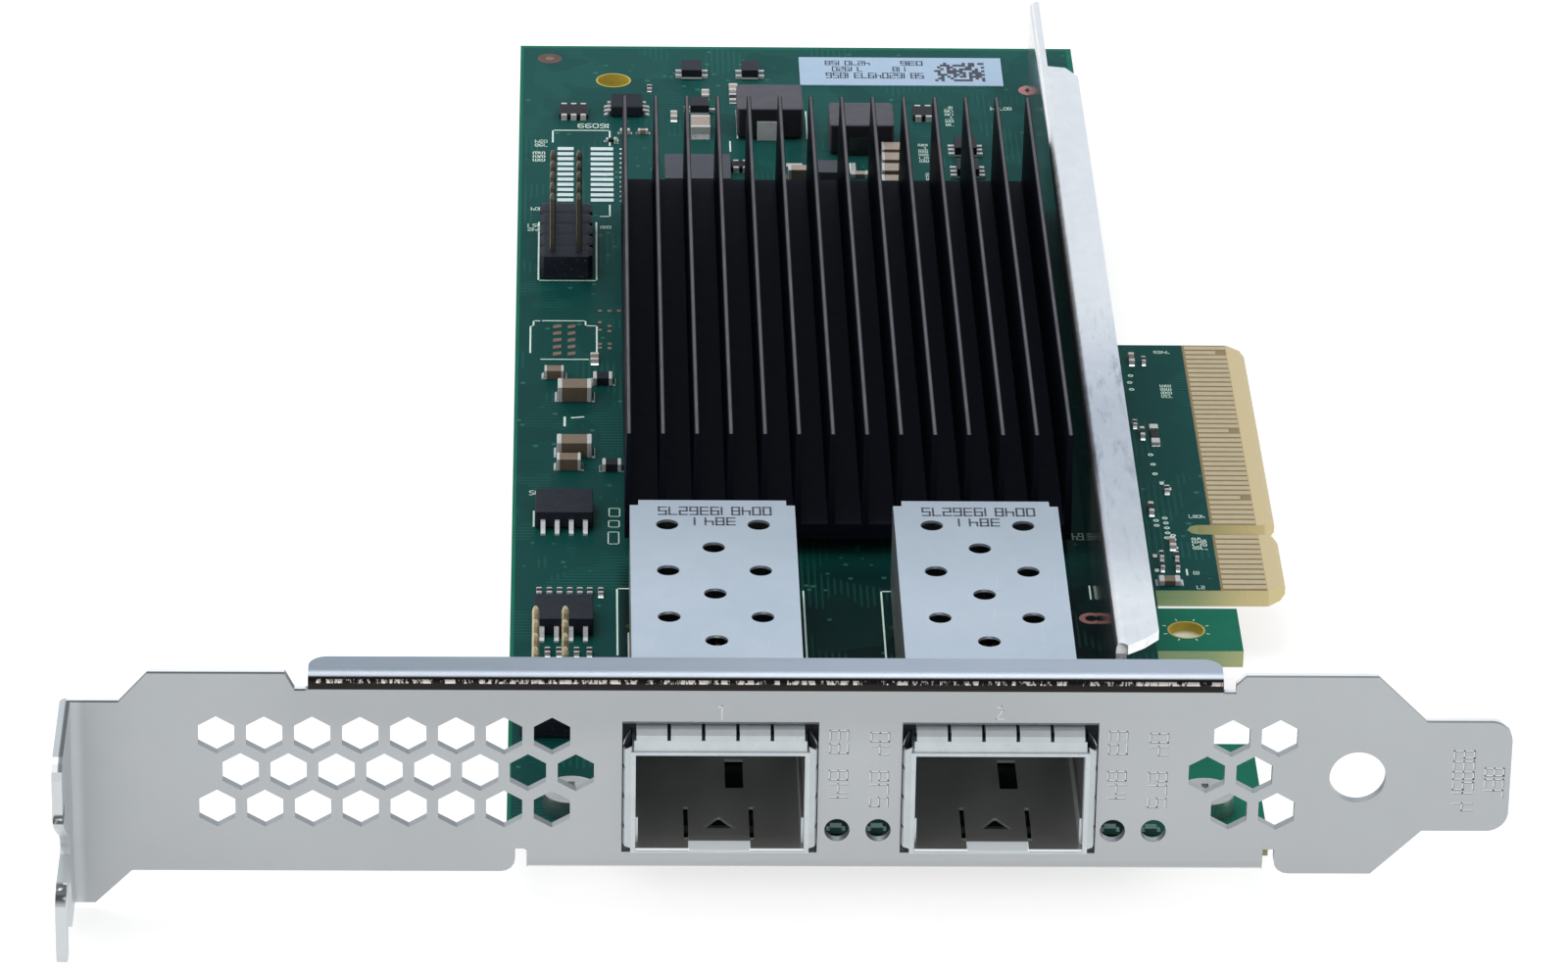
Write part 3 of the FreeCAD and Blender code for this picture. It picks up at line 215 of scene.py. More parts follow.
# ------------------------------------------------------------------ materials
def make_bracket():
    g = Mat("bracket_satin_nickel")
    cloud = g.noise(0.06, 3.0, 0.55)
    grain = g.noise(9.0, 2.0, 0.6, g.vec(0.25, 1.0, 1.0))
    pits = g.noise(2.6, 4.0, 0.6)
    c = g.mix(cloud, lin(166, 170, 173), lin(177, 181, 184))
    # painted light: the ear is painted lighter than the face, a lit copy of the plate
    ear = g.math("SUBTRACT", 1.0, g.step(g.x, -58.8, -58.0))
    c = g.mix(g.mul(ear, 0.8), c, lin(202, 207, 209))
    c = g.mix(g.mul(g.step(pits, 0.62, 0.74), 0.16), c, lin(150, 150, 148))
    # the bend lines of the sheet are stretched and shiny; their brown-black colour is a painted reflection of the dark
    # room above the camera, with painted glints along it
    zc = g.math("SUBTRACT", g.z, OZ)
    yc = g.math("ADD", g.y, OY)
    high = g.mul(g.step(zc, 8.5, 12.5), g.math("SUBTRACT", 1.0, g.step(g.x, 8.0, 34.0)), g.step(g.x, -48.0, -38.0))
    c = g.mix(g.mul(high, 0.5), c, lin(156, 160, 162))
    xin = g.band(g.x, -39.8, 36.0, 0.05)
    bend = g.mul(g.band(zc, 14.62, 15.66, 0.05), g.math("SUBTRACT", 1.0, g.step(yc, 0.42, 0.62)), xin)
    c = g.mix(g.mul(bend, 0.97), c, lin(18, 13, 10))
    glint = g.mul(bend, g.band(zc, 15.16, 15.42, 0.05), g.step(g.noise(2.2, 3.0, 0.7, g.vec(1.0, 0.1, 0.4)), 0.47, 0.56))
    c = g.mix(glint, c, lin(252, 246, 240))
    # the plate's sheared top edges: a painted highlight on their back part and a painted dark reflection at the front,
    # where they roll over
    n = g.normal()
    rim = g.mul(g.step(n[2], 0.5, 0.7), g.step(zc, 11.0, 11.4), g.math("SUBTRACT", 1.0, xin), g.step(g.x, -59.6, -59.4))
    front = g.math("SUBTRACT", 1.0, g.step(yc, 0.30, 0.42))
    c = g.mix(g.mul(rim, g.math("SUBTRACT", 1.0, front)), c, lin(250, 251, 252))
    c = g.mix(g.mul(rim, front, g.math("SUBTRACT", 0.85, g.mul(g.step(g.x, 30.0, 36.0), 0.45))), c, lin(62, 64, 66))
    # painted reflection: the bottom bend is painted near-white where it mirrors the pale floor
    low = g.mul(g.band(g.x, -21.5, 39.6, 0.05), g.math("SUBTRACT", 1.0, g.step(zc, -2.15, -1.85)))
    c = g.mix(g.mul(low, 0.9), c, lin(252, 252, 252))
    # painted dark glints (painted reflections) where the ear's front edge curves in and out
    gl = g.math("MAXIMUM", g.band(zc, 7.9, 9.0, 0.15), g.band(zc, 0.6, 2.2, 0.2))
    gl = g.mul(gl, g.math("SUBTRACT", 1.0, g.step(yc, -9.2, -8.8)), g.step(g.noise(1.1, 2.0, 0.5), 0.40, 0.48))
    c = g.mix(g.mul(gl, 0.85), c, lin(26, 24, 22))
    # top lip: its top face is painted as a lit copy of the plate, cooler (a painted reflection of the blue-grey back
    # wall) and lighter towards +x, faintly streaked along its length
    lipt = g.mul(g.step(zc, 15.62, 15.68), xin)
    c = g.mix(g.mul(lipt, 0.85), c, g.mix(g.step(g.x, -36.0, 24.0), g.mix(g.noise(0.5, 2.0, 0.5, g.vec(0.12, 1.0, 1.0)), lin(140, 150, 162), lin(150, 160, 172)), g.mix(g.noise(0.5, 2.0, 0.5, g.vec(0.12, 1.0, 1.0)), lin(170, 180, 194), lin(180, 190, 204))))
    r = g.rng(g.noise(0.5, 3.0, 0.6), 0.36, 0.47)
    r = g.math("SUBTRACT", r, g.mul(bend, 0.14))
    nb = g.bump(grain, 0.10, 0.03)
    nb = g.bump(g.noise(0.25, 2.0, 0.5), 0.15, 0.12, nb)
    g.set(color=c, rough=r, metal=0.82, normal=nb)
    return g.m


def make_cage():
    g = Mat("cage_tin_plate")
    cloud = g.noise(0.10, 3.0, 0.5)
    c = g.mix(cloud, lin(186, 198, 210), lin(203, 213, 223))
    smudge = g.step(g.noise(0.9, 4.0, 0.65), 0.63, 0.75)
    c = g.mix(g.mul(smudge, 0.22), c, lin(150, 158, 168))
    scratch = g.step(g.noise(3.0, 2.0, 0.5, g.vec(1.0, 0.07, 1.0)), 0.66, 0.72)
    c = g.mix(g.mul(scratch, 0.12), c, lin(235, 240, 245))
    zc = g.math("SUBTRACT", g.z, OZ)
    yc = g.math("ADD", g.y, OY)
    # inside of the cage: painted shade, a duller brown-grey
    n = g.normal()
    inside = g.mul(g.math("SUBTRACT", 1.0, g.step(zc, 9.02, 9.06)), g.step(yc, 0.6, 1.2))
    c = g.mix(g.mul(inside, 0.8), c, lin(132, 130, 124))
    c = g.mix(g.mul(g.step(yc, 26.0, 46.0), 0.45), c, lin(158, 168, 176))
    # painted highlight: the sheared edges of the sheet are painted brighter where they catch the light
    edge = g.mul(g.step(g.math("ABSOLUTE", n[1]), 0.7, 0.9), g.math("SUBTRACT", 1.0, g.step(yc, 3.0, 3.4)))
    c = g.mix(edge, c, lin(214, 222, 228))
    r = g.rng(g.noise(0.7, 3.0, 0.6), 0.30, 0.42)
    nb = g.bump(g.noise(6.0, 2.0, 0.5, g.vec(1.0, 0.15, 1.0)), 0.10, 0.02)
    nb = g.bump(g.noise(0.22, 2.0, 0.5), 0.18, 0.15, nb)
    g.set(color=c, rough=r, metal=0.78, normal=nb)
    return g.m


def make_cage_floor():
    g = Mat("cage_floor_plate")
    yc = g.math("ADD", g.y, OY)
    n = g.normal()
    c = g.mix(g.noise(0.16, 3.0, 0.5), lin(160, 159, 154), lin(184, 183, 178))
    d1 = g.math("ABSOLUTE", g.math("ADD", g.x, 5.6))
    d2 = g.math("ABSOLUTE", g.math("SUBTRACT", g.x, 17.55))
    d = g.math("MINIMUM", d1, d2)
    # painted highlight: the leading ramp between the slits is painted bright and given a glow, and the sheared edges
    # are painted bright
    ramp = g.mul(g.math("SUBTRACT", 1.0, g.step(d, 2.54, 2.6)), g.math("SUBTRACT", 1.0, g.step(yc, 0.25, 0.5)))
    c = g.mix(ramp, c, lin(226, 232, 236))
    cutf = g.math("SUBTRACT", 1.0, g.step(g.math("ABSOLUTE", n[2]), 0.25, 0.4))
    c = g.mix(cutf, c, lin(216, 222, 224))
    g.set(color=c, rough=g.rng(g.noise(0.7, 3.0, 0.6), 0.32, 0.46), metal=0.72, emit=(0.8, 0.85, 0.88, 1.0), emit_k=g.mul(ramp, 0.40),
          normal=g.bump(g.noise(6.0, 2.0, 0.5, g.vec(1.0, 0.15, 1.0)), 0.10, 0.02))
    return g.m


def make_spring():
    g = Mat("collar_bright_strip")
    c = g.mix(g.noise(0.6, 3.0, 0.5), lin(176, 184, 188), lin(196, 203, 206))
    yc = g.math("ADD", g.y, OY)
    # painted shade: everything behind the strip, past card y 2.1, is painted near-black
    c = g.mix(g.mul(g.step(yc, 2.1, 2.3), 0.9), c, lin(30, 32, 34))
    c = g.mix(g.mul(g.step(g.noise(3.0, 3.0, 0.6), 0.6, 0.72), 0.3), c, lin(150, 158, 160))
    g.set(color=c, rough=g.rng(g.noise(1.5, 2.0, 0.5), 0.34, 0.46), metal=0.75, normal=g.bump(g.noise(2.5, 2.0, 0.5), 0.14, 0.03))
    return g.m


def make_stiffener():
    g = Mat("stiffener_scuffed_plate")
    base = g.mix(g.noise(0.08, 3.0, 0.5), lin(222, 226, 233), lin(240, 242, 248))
    streak = g.noise(0.8, 5.0, 0.65, g.vec(1.0, 0.18, 1.0), 0.4)
    c = g.mix(g.mul(g.step(streak, 0.50, 0.70), 0.75), base, lin(150, 156, 168))
    flake = g.step(g.noise(3.2, 4.0, 0.7, g.vec(0.6, 0.5, 1.0)), 0.6, 0.7)
    c = g.mix(g.mul(flake, 0.42), c, lin(124, 130, 142))
    hot = g.step(g.noise(1.6, 4.0, 0.7, g.vec(1.0, 0.25, 1.0)), 0.6, 0.68)
    c = g.mix(g.mul(hot, 0.5), c, lin(252, 252, 255))
    n = g.normal()
    # the wall's sides are clean and glossy but painted darker, a painted shade; the flange is scuffed
    side = g.step(g.math("ABSOLUTE", n[0]), 0.7, 0.9)
    c = g.mix(g.mul(side, 0.9), c, lin(172, 176, 180))
    yc = g.math("ADD", g.y, OY)
    # painted light: the top is painted white near both ends and a painted shade of blue-grey in the middle
    top = g.math("SUBTRACT", 1.0, side)
    near = g.math("SUBTRACT", 1.0, g.step(yc, 20.0, 60.0))
    c = g.mix(g.mul(near, top, 0.85), c, lin(255, 255, 255))
    c = g.mix(g.mul(g.step(yc, 72.0, 92.0), top, 0.92), c, lin(255, 255, 255))
    top_mid_shade = g.mul(g.step(yc, 26.0, 40.0), g.math("SUBTRACT", 1.0, g.step(yc, 62.0, 82.0)))
    c = g.mix(g.mul(top_mid_shade, top, 0.5), c, lin(176, 184, 194))
    r = g.math("SUBTRACT", g.rng(g.noise(0.9, 4.0, 0.6), 0.24, 0.44), g.mul(side, 0.19))
    nb = g.bump(g.mul(g.noise(2.2, 4.0, 0.65, g.vec(1.0, 0.4, 1.0)), g.math("SUBTRACT", 1.0, side)), 0.28, 0.10)
    nb = g.bump(g.noise(0.12, 1.0, 0.5), 0.12, 0.10, nb)
    g.set(color=c, rough=r, metal=0.9, normal=nb)
    return g.m


def make_board():
    g = Mat("board_solder_mask")
    n = g.normal()
    yc = g.math("ADD", g.y, OY)
    face = g.step(g.math("ABSOLUTE", n[2]), 0.5, 0.7)
    cloud = g.noise(0.035, 3.0, 0.5)
    dark = g.mix(cloud, lin(12, 60, 57), lin(16, 67, 63))
    dark = g.mix(g.mul(g.step(yc, 90.0, 165.0), 0.8), dark, lin(26, 75, 72))
    # painted shade: the board in front of the heat sink, round and between the cages, is painted near-black
    mid = g.mul(g.band(g.x, -13.6, 28.6, 0.6), g.math("SUBTRACT", 1.0, g.step(yc, 49.0, 55.0)))
    dark = g.mix(g.mul(mid, 0.9), dark, lin(5, 20, 20))
    # copper under the mask: buried traces in short parallel runs, vias as pin-point dots
    tx = g.wave(0.55, 0.0, "X")
    ty = g.wave(0.55, 0.0, "Y")
    zone = g.noise(0.055, 2.0, 0.5)
    sel = g.step(zone, 0.49, 0.51)
    cell = g.noise(0.19, 1.0, 0.5, g.vec(1.0, 0.6, 1.0))
    lines = g.math("ADD", g.mul(g.step(tx, 0.62, 0.78), sel), g.mul(g.step(ty, 0.62, 0.78), g.math("SUBTRACT", 1.0, sel)))
    lines = g.mul(lines, g.step(cell, 0.52, 0.56))
    c = g.mix(g.mul(lines, 0.28), dark, lin(40, 104, 94))
    pour = g.step(g.noise(0.09, 2.0, 0.4, None, 0.6), 0.55, 0.57)
    c = g.mix(g.mul(pour, 0.30), c, lin(12, 54, 52))
    via = g.math("LESS_THAN", g.voronoi(0.62), 0.16)
    viaz = g.mul(via, g.step(g.noise(0.12, 1.0, 0.5, g.vec(1.0, 1.0, 1.0)), 0.53, 0.56))
    c = g.mix(g.mul(viaz, 0.45), c, lin(64, 124, 108))
    # outer margin and the small tab have no copper: the mask is brighter there
    m = g.math("SUBTRACT", 1.0, g.step(g.x, -23.05, -22.9))
    m = g.math("MAXIMUM", m, g.step(yc, 170.0, 170.2))
    m = g.math("MAXIMUM", m, g.mul(g.step(g.x, 33.2, 33.3), g.math("SUBTRACT", 1.0, g.step(yc, 44.2, 44.6))))
    m = g.math("MAXIMUM", m, g.mul(g.step(g.x, 32.7, 32.8), g.step(yc, 99.4, 99.6)))
    c = g.mix(m, c, g.mix(g.noise(0.3, 2.0, 0.5), lin(16, 92, 74), lin(26, 106, 84)))
    # bare laminate in the connector area
    bare = g.mul(g.step(g.x, 39.70, 39.78), g.step(yc, 46.5, 46.6))
    near_tab = g.mul(g.step(g.x, 39.6, 39.7), g.math("SUBTRACT", 1.0, g.step(yc, 45.0, 45.1)))
    tan = g.mix(g.noise(2.5, 3.0, 0.5), lin(128, 112, 82), lin(144, 127, 94))
    tan = g.mix(g.step(g.x, 43.8, 43.95), tan, lin(190, 176, 140))
    c = g.mix(g.mul(bare, g.math("SUBTRACT", 1.0, near_tab)), c, tan)
    # painted shade: under the cages the board is painted near-black
    for xa, xb in ((-12.7, 1.5), (10.45, 24.7)):
        c = g.mix(g.mul(g.band(g.x, xa, xb, 0.05), g.math("SUBTRACT", 1.0, g.step(yc, 46.0, 46.2)), 0.85), c, lin(6, 12, 12))
    hole_wall = None
    # ring of bare laminate round the two larger holes
    for hx, hy, r0 in ((36.1, 39.8 - OY, 1.66), (-13.8, 161.8 - OY, 1.78)):
        dx = g.math("SUBTRACT", g.x, hx)
        dy = g.math("SUBTRACT", g.y, hy)
        rr = g.math("SQRT", g.math("ADD", g.mul(dx, dx), g.mul(dy, dy)))
        c = g.mix(g.math("SUBTRACT", 1.0, g.step(rr, r0 - 0.03, r0 + 0.03)), c, lin(176, 160, 84))
        w_ = g.math("SUBTRACT", 1.0, g.step(rr, r0 + 0.02, r0 + 0.10))
        hole_wall = w_ if hole_wall is None else g.math("MAXIMUM", hole_wall, w_)
    # cut edges show the laminate: green-tan, with fine glass layers
    lay = g.wave(3.2, 0.4, "Z")
    edge = g.mix(g.noise(1.2, 3.0, 0.5, g.vec(0.4, 0.4, 3.0)), lin(132, 160, 120), lin(160, 176, 136))
    edge = g.mix(g.mul(lay, 0.25), edge, lin(120, 132, 92))
    edge = g.mix(g.mul(g.step(g.x, 35.0, 43.0), g.step(yc, 45.5, 46.2)), edge, lin(206, 192, 144))
    edge = g.mix(g.mul(g.step(g.x, 37.0, 41.0), g.math("SUBTRACT", 1.0, g.step(yc, 44.5, 45.0)), 0.6), edge, lin(192, 190, 136))
    zc = g.math("SUBTRACT", g.z, OZ)
    wall = g.mix(g.noise(1.6, 3.0, 0.6), lin(146, 128, 46), lin(176, 158, 72))
    wall = g.mix(g.mul(g.step(g.x, 30.0, 30.1), g.math("SUBTRACT", 1.0, g.step(zc, -1.25, -0.75))), wall, lin(238, 236, 222))
    edge = g.mix(hole_wall, edge, wall)
    col = g.mix(face, edge, c)
    r = g.math("SUBTRACT", g.rng(g.noise(0.5, 2.0, 0.5), 0.36, 0.48), g.mul(face, 0.06))
    weave = g.math("ADD", g.wave(1.5, 1.0, "X"), g.wave(1.5, 1.0, "Y"))
    nb = g.bump(g.math("ADD", g.mul(lines, 1.0), g.mul(pour, 0.8)), 0.30, 0.03)
    nb = g.bump(weave, 0.05, 0.015, nb)
    g.set(color=col, rough=r, metal=0.0, normal=nb, ior=1.10)
    return g.m


def make_gold():
    g = Mat("contact_gold")
    c = g.mix(g.noise(1.1, 3.0, 0.5), lin(198, 180, 142), lin(212, 196, 164))
    c = g.mix(g.mul(g.step(g.noise(2.5, 3.0, 0.6, g.vec(0.2, 1.0, 1.0)), 0.6, 0.7), 0.25), c, lin(196, 170, 120))
    g.set(color=c, rough=g.rng(g.noise(2.0, 2.0, 0.5), 0.26, 0.38), metal=0.75, normal=g.bump(g.noise(5.0, 2.0, 0.5, g.vec(0.2, 1.0, 1.0)), 0.10, 0.02))
    return g.m


def make_heatsink():
    g = Mat("heatsink_black_anodise")
    n = g.normal()
    zc = g.math("SUBTRACT", g.z, OZ)
    c = g.mix(g.noise(0.08, 3.0, 0.5), lin(13, 16, 23), lin(18, 21, 29))
    draw = g.noise(5.0, 2.0, 0.5, g.vec(1.0, 0.02, 1.0))
    c = g.mix(g.mul(draw, 0.3), c, lin(26, 30, 40))
    up = g.step(n[2], 0.6, 0.9)
    tip = g.mul(up, g.step(zc, 11.9, 11.97))
    fr = g.math("FRACT", g.math("ADD", g.math("DIVIDE", g.math("ADD", g.x, 12.89), 3.0215), 0.5))
    dx = g.math("MULTIPLY", g.math("ABSOLUTE", g.math("SUBTRACT", fr, 0.5)), 3.0215)
    crest = g.math("SUBTRACT", 1.0, g.step(dx, 0.09, 0.15))
    worn = g.mix(g.noise(0.8, 4.0, 0.6, g.vec(1.0, 0.3, 1.0)), lin(72, 72, 78), lin(112, 110, 112))
    worn = g.mix(crest, lin(34, 36, 44), worn)
    c = g.mix(g.mul(tip, 0.85), c, worn)
    base = g.mul(up, g.band(zc, 2.9, 3.3, 0.05))
    c = g.mix(g.mul(base, 0.5), c, lin(28, 31, 42))
    dust = g.step(g.noise(1.6, 5.0, 0.7), 0.66, 0.74)
    c = g.mix(g.mul(dust, 0.06), c, lin(110, 112, 118))
    g.set(color=c, rough=g.rng(g.noise(0.8, 2.0, 0.5), 0.36, 0.50), metal=0.0, normal=g.bump(draw, 0.20, 0.03), ior=1.07)
    return g.m


def make_plastic(name, a, b, rough=(0.45, 0.62), bump=0.12, scale=6.0, coat=0.0, spec=0.12):
    g = Mat(name)
    c = g.mix(g.noise(0.7, 3.0, 0.5), a, b)
    fleck = g.step(g.noise(scale * 1.5, 3.0, 0.6), 0.62, 0.72)
    c = g.mix(g.mul(fleck, 0.12), c, (0.5, 0.5, 0.52, 1))
    g.set(color=c, rough=g.rng(g.noise(2.0, 3.0, 0.5), *rough), metal=0.0, normal=g.bump(g.noise(scale, 3.0, 0.6), bump, 0.03), coat=coat, spec=spec)
    return g.m


def make_metal(name, a, b, rough=(0.2, 0.32), bump=0.15, scale=2.0, metal=0.95):
    g = Mat(name)
    c = g.mix(g.noise(0.9, 3.0, 0.5), a, b)
    g.set(color=c, rough=g.rng(g.noise(1.5, 3.0, 0.5), *rough), metal=metal, normal=g.bump(g.noise(scale, 3.0, 0.6), bump, 0.05))
    return g.m


def make_label():
    g = Mat("label_paper")
    c = g.mix(g.noise(0.5, 4.0, 0.5), lin(152, 174, 196), lin(162, 184, 206))
    g.set(color=c, rough=g.rng(g.noise(3.0, 3.0, 0.5), 0.45, 0.6), metal=0.0, normal=g.bump(g.noise(4.0, 4.0, 0.6), 0.10, 0.02), ior=1.2)
    return g.m


MB = make_bracket()
MC = make_cage()
MS = make_spring()
MCB = make_cage_floor()
MST = make_stiffener()
MPCB = make_board()
MG = make_gold()
MH = make_heatsink()
MCHIP = make_plastic("chip_epoxy", lin(24, 28, 36), lin(33, 38, 47))
MCHIPG = make_plastic("chip_epoxy_grey", lin(66, 68, 76), lin(78, 80, 88))
MHEAD = make_plastic("header_moulding", lin(26, 30, 38), lin(35, 40, 50), (0.35, 0.5), 0.10, 3.0)
MSOCK = make_plastic("socket_moulding", lin(20, 20, 22), lin(30, 30, 32), (0.5, 0.65), 0.10, 3.0)
def make_ceramic():
    g = Mat("capacitor_ceramic")
    yc = g.math("ADD", g.y, OY)
    n = g.normal()
    c = g.mix(g.noise(0.7, 3.0, 0.5), lin(108, 94, 80), lin(130, 117, 102))
    c = g.mix(g.step(yc, 128.0, 132.0), c, g.mix(g.noise(1.3, 3.0, 0.5), lin(142, 130, 120), lin(164, 153, 144)))
    # painted shade: faces turned to the front are painted darker
    front = g.math("SUBTRACT", 1.0, g.step(n[1], -0.85, -0.5))
    c = g.mix(g.mul(front, 0.5), c, lin(60, 50, 42))
    g.set(color=c, rough=g.rng(g.noise(2.0, 3.0, 0.5), 0.4, 0.55), metal=0.0, normal=g.bump(g.noise(4.0, 3.0, 0.6), 0.10, 0.03), spec=0.15)
    return g.m


MCAP = make_ceramic()
MRES = make_plastic("resistor_film", lin(22, 22, 26), lin(32, 32, 36), (0.3, 0.45), 0.08, 4.0)
MTIN = make_metal("tinned_end", lin(190, 190, 188), lin(208, 208, 206), (0.3, 0.42), 0.30, 3.0, 0.38)
MSOL = make_metal("solder_fillet", lin(186, 190, 192), lin(216, 220, 222), (0.16, 0.3), 0.25, 1.6)
MPIN = make_metal("header_pin_gold", lin(92, 87, 77), lin(114, 108, 96), (0.24, 0.36), 0.15, 2.0, 0.8)
MJPIN = make_metal("jumper_pin_gold", lin(182, 170, 138), lin(198, 188, 158), (0.26, 0.38), 0.25, 2.0, 0.75)
MSCR = make_metal("screw_plate", lin(186, 184, 180), lin(214, 212, 208), (0.18, 0.3), 0.2, 2.0)
MCOP = make_metal("pad_copper_finish", lin(118, 96, 84), lin(142, 120, 106), (0.35, 0.5), 0.15, 3.0, 0.7)
MSILK = make_plastic("legend_ink", lin(190, 214, 204), lin(212, 230, 222), (0.5, 0.6), 0.08, 6.0)
MINK = make_plastic("label_print", lin(60, 62, 74), lin(84, 86, 98), (0.5, 0.6), 0.05, 6.0)
MPAD = make_plastic("thermal_pad_grey", lin(150, 156, 162), lin(166, 170, 176), (0.6, 0.75), 0.2, 3.0)
MLED = make_plastic("led_resin", lin(56, 96, 84), lin(72, 114, 100), (0.12, 0.22), 0.05, 2.0, 0.3, 0.3)
MLAB = make_label()


def make_leaded():
    g = Mat("leaded_part")
    zc = g.math("SUBTRACT", g.z, OZ)
    leg = g.math("SUBTRACT", 1.0, g.step(zc, 0.30, 0.32))
    c = g.mix(g.noise(0.7, 3.0, 0.5), lin(22, 25, 32), lin(31, 35, 43))
    c = g.mix(leg, c, g.mix(g.noise(1.5, 3.0, 0.5), lin(192, 194, 194), lin(212, 214, 214)))
    g.set(color=c, rough=g.rng(g.noise(2.0, 3.0, 0.5), 0.38, 0.52), metal=g.mul(leg, 0.4), normal=g.bump(g.noise(5.0, 3.0, 0.6), 0.12, 0.03), spec=0.2)
    return g.m


MLEAD = make_leaded()


def make_inductor():
    g = Mat("inductor_powder")
    n = g.normal()
    c = g.mix(g.noise(0.7, 3.0, 0.5), lin(72, 72, 80), lin(88, 88, 96))
    # painted shade: faces turned to the front are painted near-black
    front = g.math("SUBTRACT", 1.0, g.step(n[1], -0.85, -0.6))
    c = g.mix(g.mul(front, 0.85), c, lin(18, 20, 24))
    g.set(color=c, rough=g.rng(g.noise(2.0, 3.0, 0.5), 0.5, 0.7), metal=0.0, normal=g.bump(g.noise(5.0, 3.0, 0.6), 0.30, 0.03), spec=0.12)
    return g.m


def make_inductor_plate():
    g = Mat("inductor_plate")
    far = g.step(g.x, 4.9, 5.1)
    c = g.mix(g.noise(1.2, 3.0, 0.5), lin(178, 182, 182), lin(212, 214, 214))
    c = g.mix(far, c, lin(26, 30, 32))
    g.set(color=c, rough=g.rng(g.noise(1.5, 3.0, 0.5), 0.3, 0.42), metal=g.math("SUBTRACT", 0.10, g.mul(far, 0.08)), normal=g.bump(g.noise(2.5, 3.0, 0.6), 0.3, 0.05))
    return g.m


MIND = make_inductor()
MIPL = make_inductor_plate()
MLG = make_metal("lead_bright_tin", lin(206, 208, 210), lin(226, 228, 230), (0.28, 0.4), 0.25, 3.0, 0.4)
MPADW = make_metal("tinned_pad", lin(192, 208, 212), lin(212, 226, 228), (0.34, 0.46), 0.25, 3.0, 0.25)
MFID = make_plastic("mask_over_copper", lin(80, 66, 62), lin(104, 78, 74), (0.5, 0.65), 0.1, 4.0)
# painted highlight for the stamped strokes, and their painted shadow
MNUM = make_metal("stamped_number", lin(186, 190, 193), lin(206, 210, 213), (0.3, 0.45), 0.2, 6.0, 0.8)
MSHADE = make_metal("stamped_shadow", lin(96, 99, 102), lin(116, 119, 122), (0.4, 0.55), 0.2, 6.0, 0.7)
MPINK = make_metal("ring_pad_copper", lin(164, 104, 100), lin(190, 132, 126), (0.35, 0.5), 0.1, 2.0, 0.4)

ASSIGN = {
    "bracket": MB, "bracket_screws": MSCR, "pcb": MPCB, "edge_contacts_top": MG, "edge_contacts_bottom": MG,
    "heatsink": MH, "heatsink_screws": MSCR, "controller_chip": MCHIP, "thermal_pad": MPAD,
    "cage_cover_1": MC, "cage_cover_2": MC, "cage_base_1": MCB, "cage_base_2": MCB, "gasket_1": MS, "gasket_2": MS,
    "socket_1": MSOCK, "socket_2": MSOCK, "socket_contacts": MG, "stiffener": MST,
    "header_body": MHEAD, "jumper_body": MHEAD, "header_pins": MPIN, "jumper_pins": MJPIN,
    "flash_chips": MCHIP, "flash_leads": MLG, "inductors": MIND, "inductor_terminals": MIPL,
    "regulator_chips": MCHIPG, "small_chips": MCHIP, "large_capacitors": MCAP, "small_capacitors": MCAP,
    "resistors": MRES, "resistor_arrays": MRES, "transistors": MLEAD, "indicator_leds": MLED, "label": MLAB,
}
for name, ob in N.items():
    ob.data.materials.clear()
    ob.data.materials.append(ASSIGN[name])


def soften(name, width, seg=2, angle=35.0):
    """Rounds a carried-over part's sharp edges without changing its mesh."""
    ob = N[name]
    w = ob.modifiers.new("weld", "WELD")
    w.merge_threshold = 1e-6
    b = ob.modifiers.new("round", "BEVEL")
    b.width = width * MM
    b.segments = seg
    b.limit_method = "ANGLE"
    b.angle_limit = math.radians(angle)
    b.harden_normals = False
    return ob


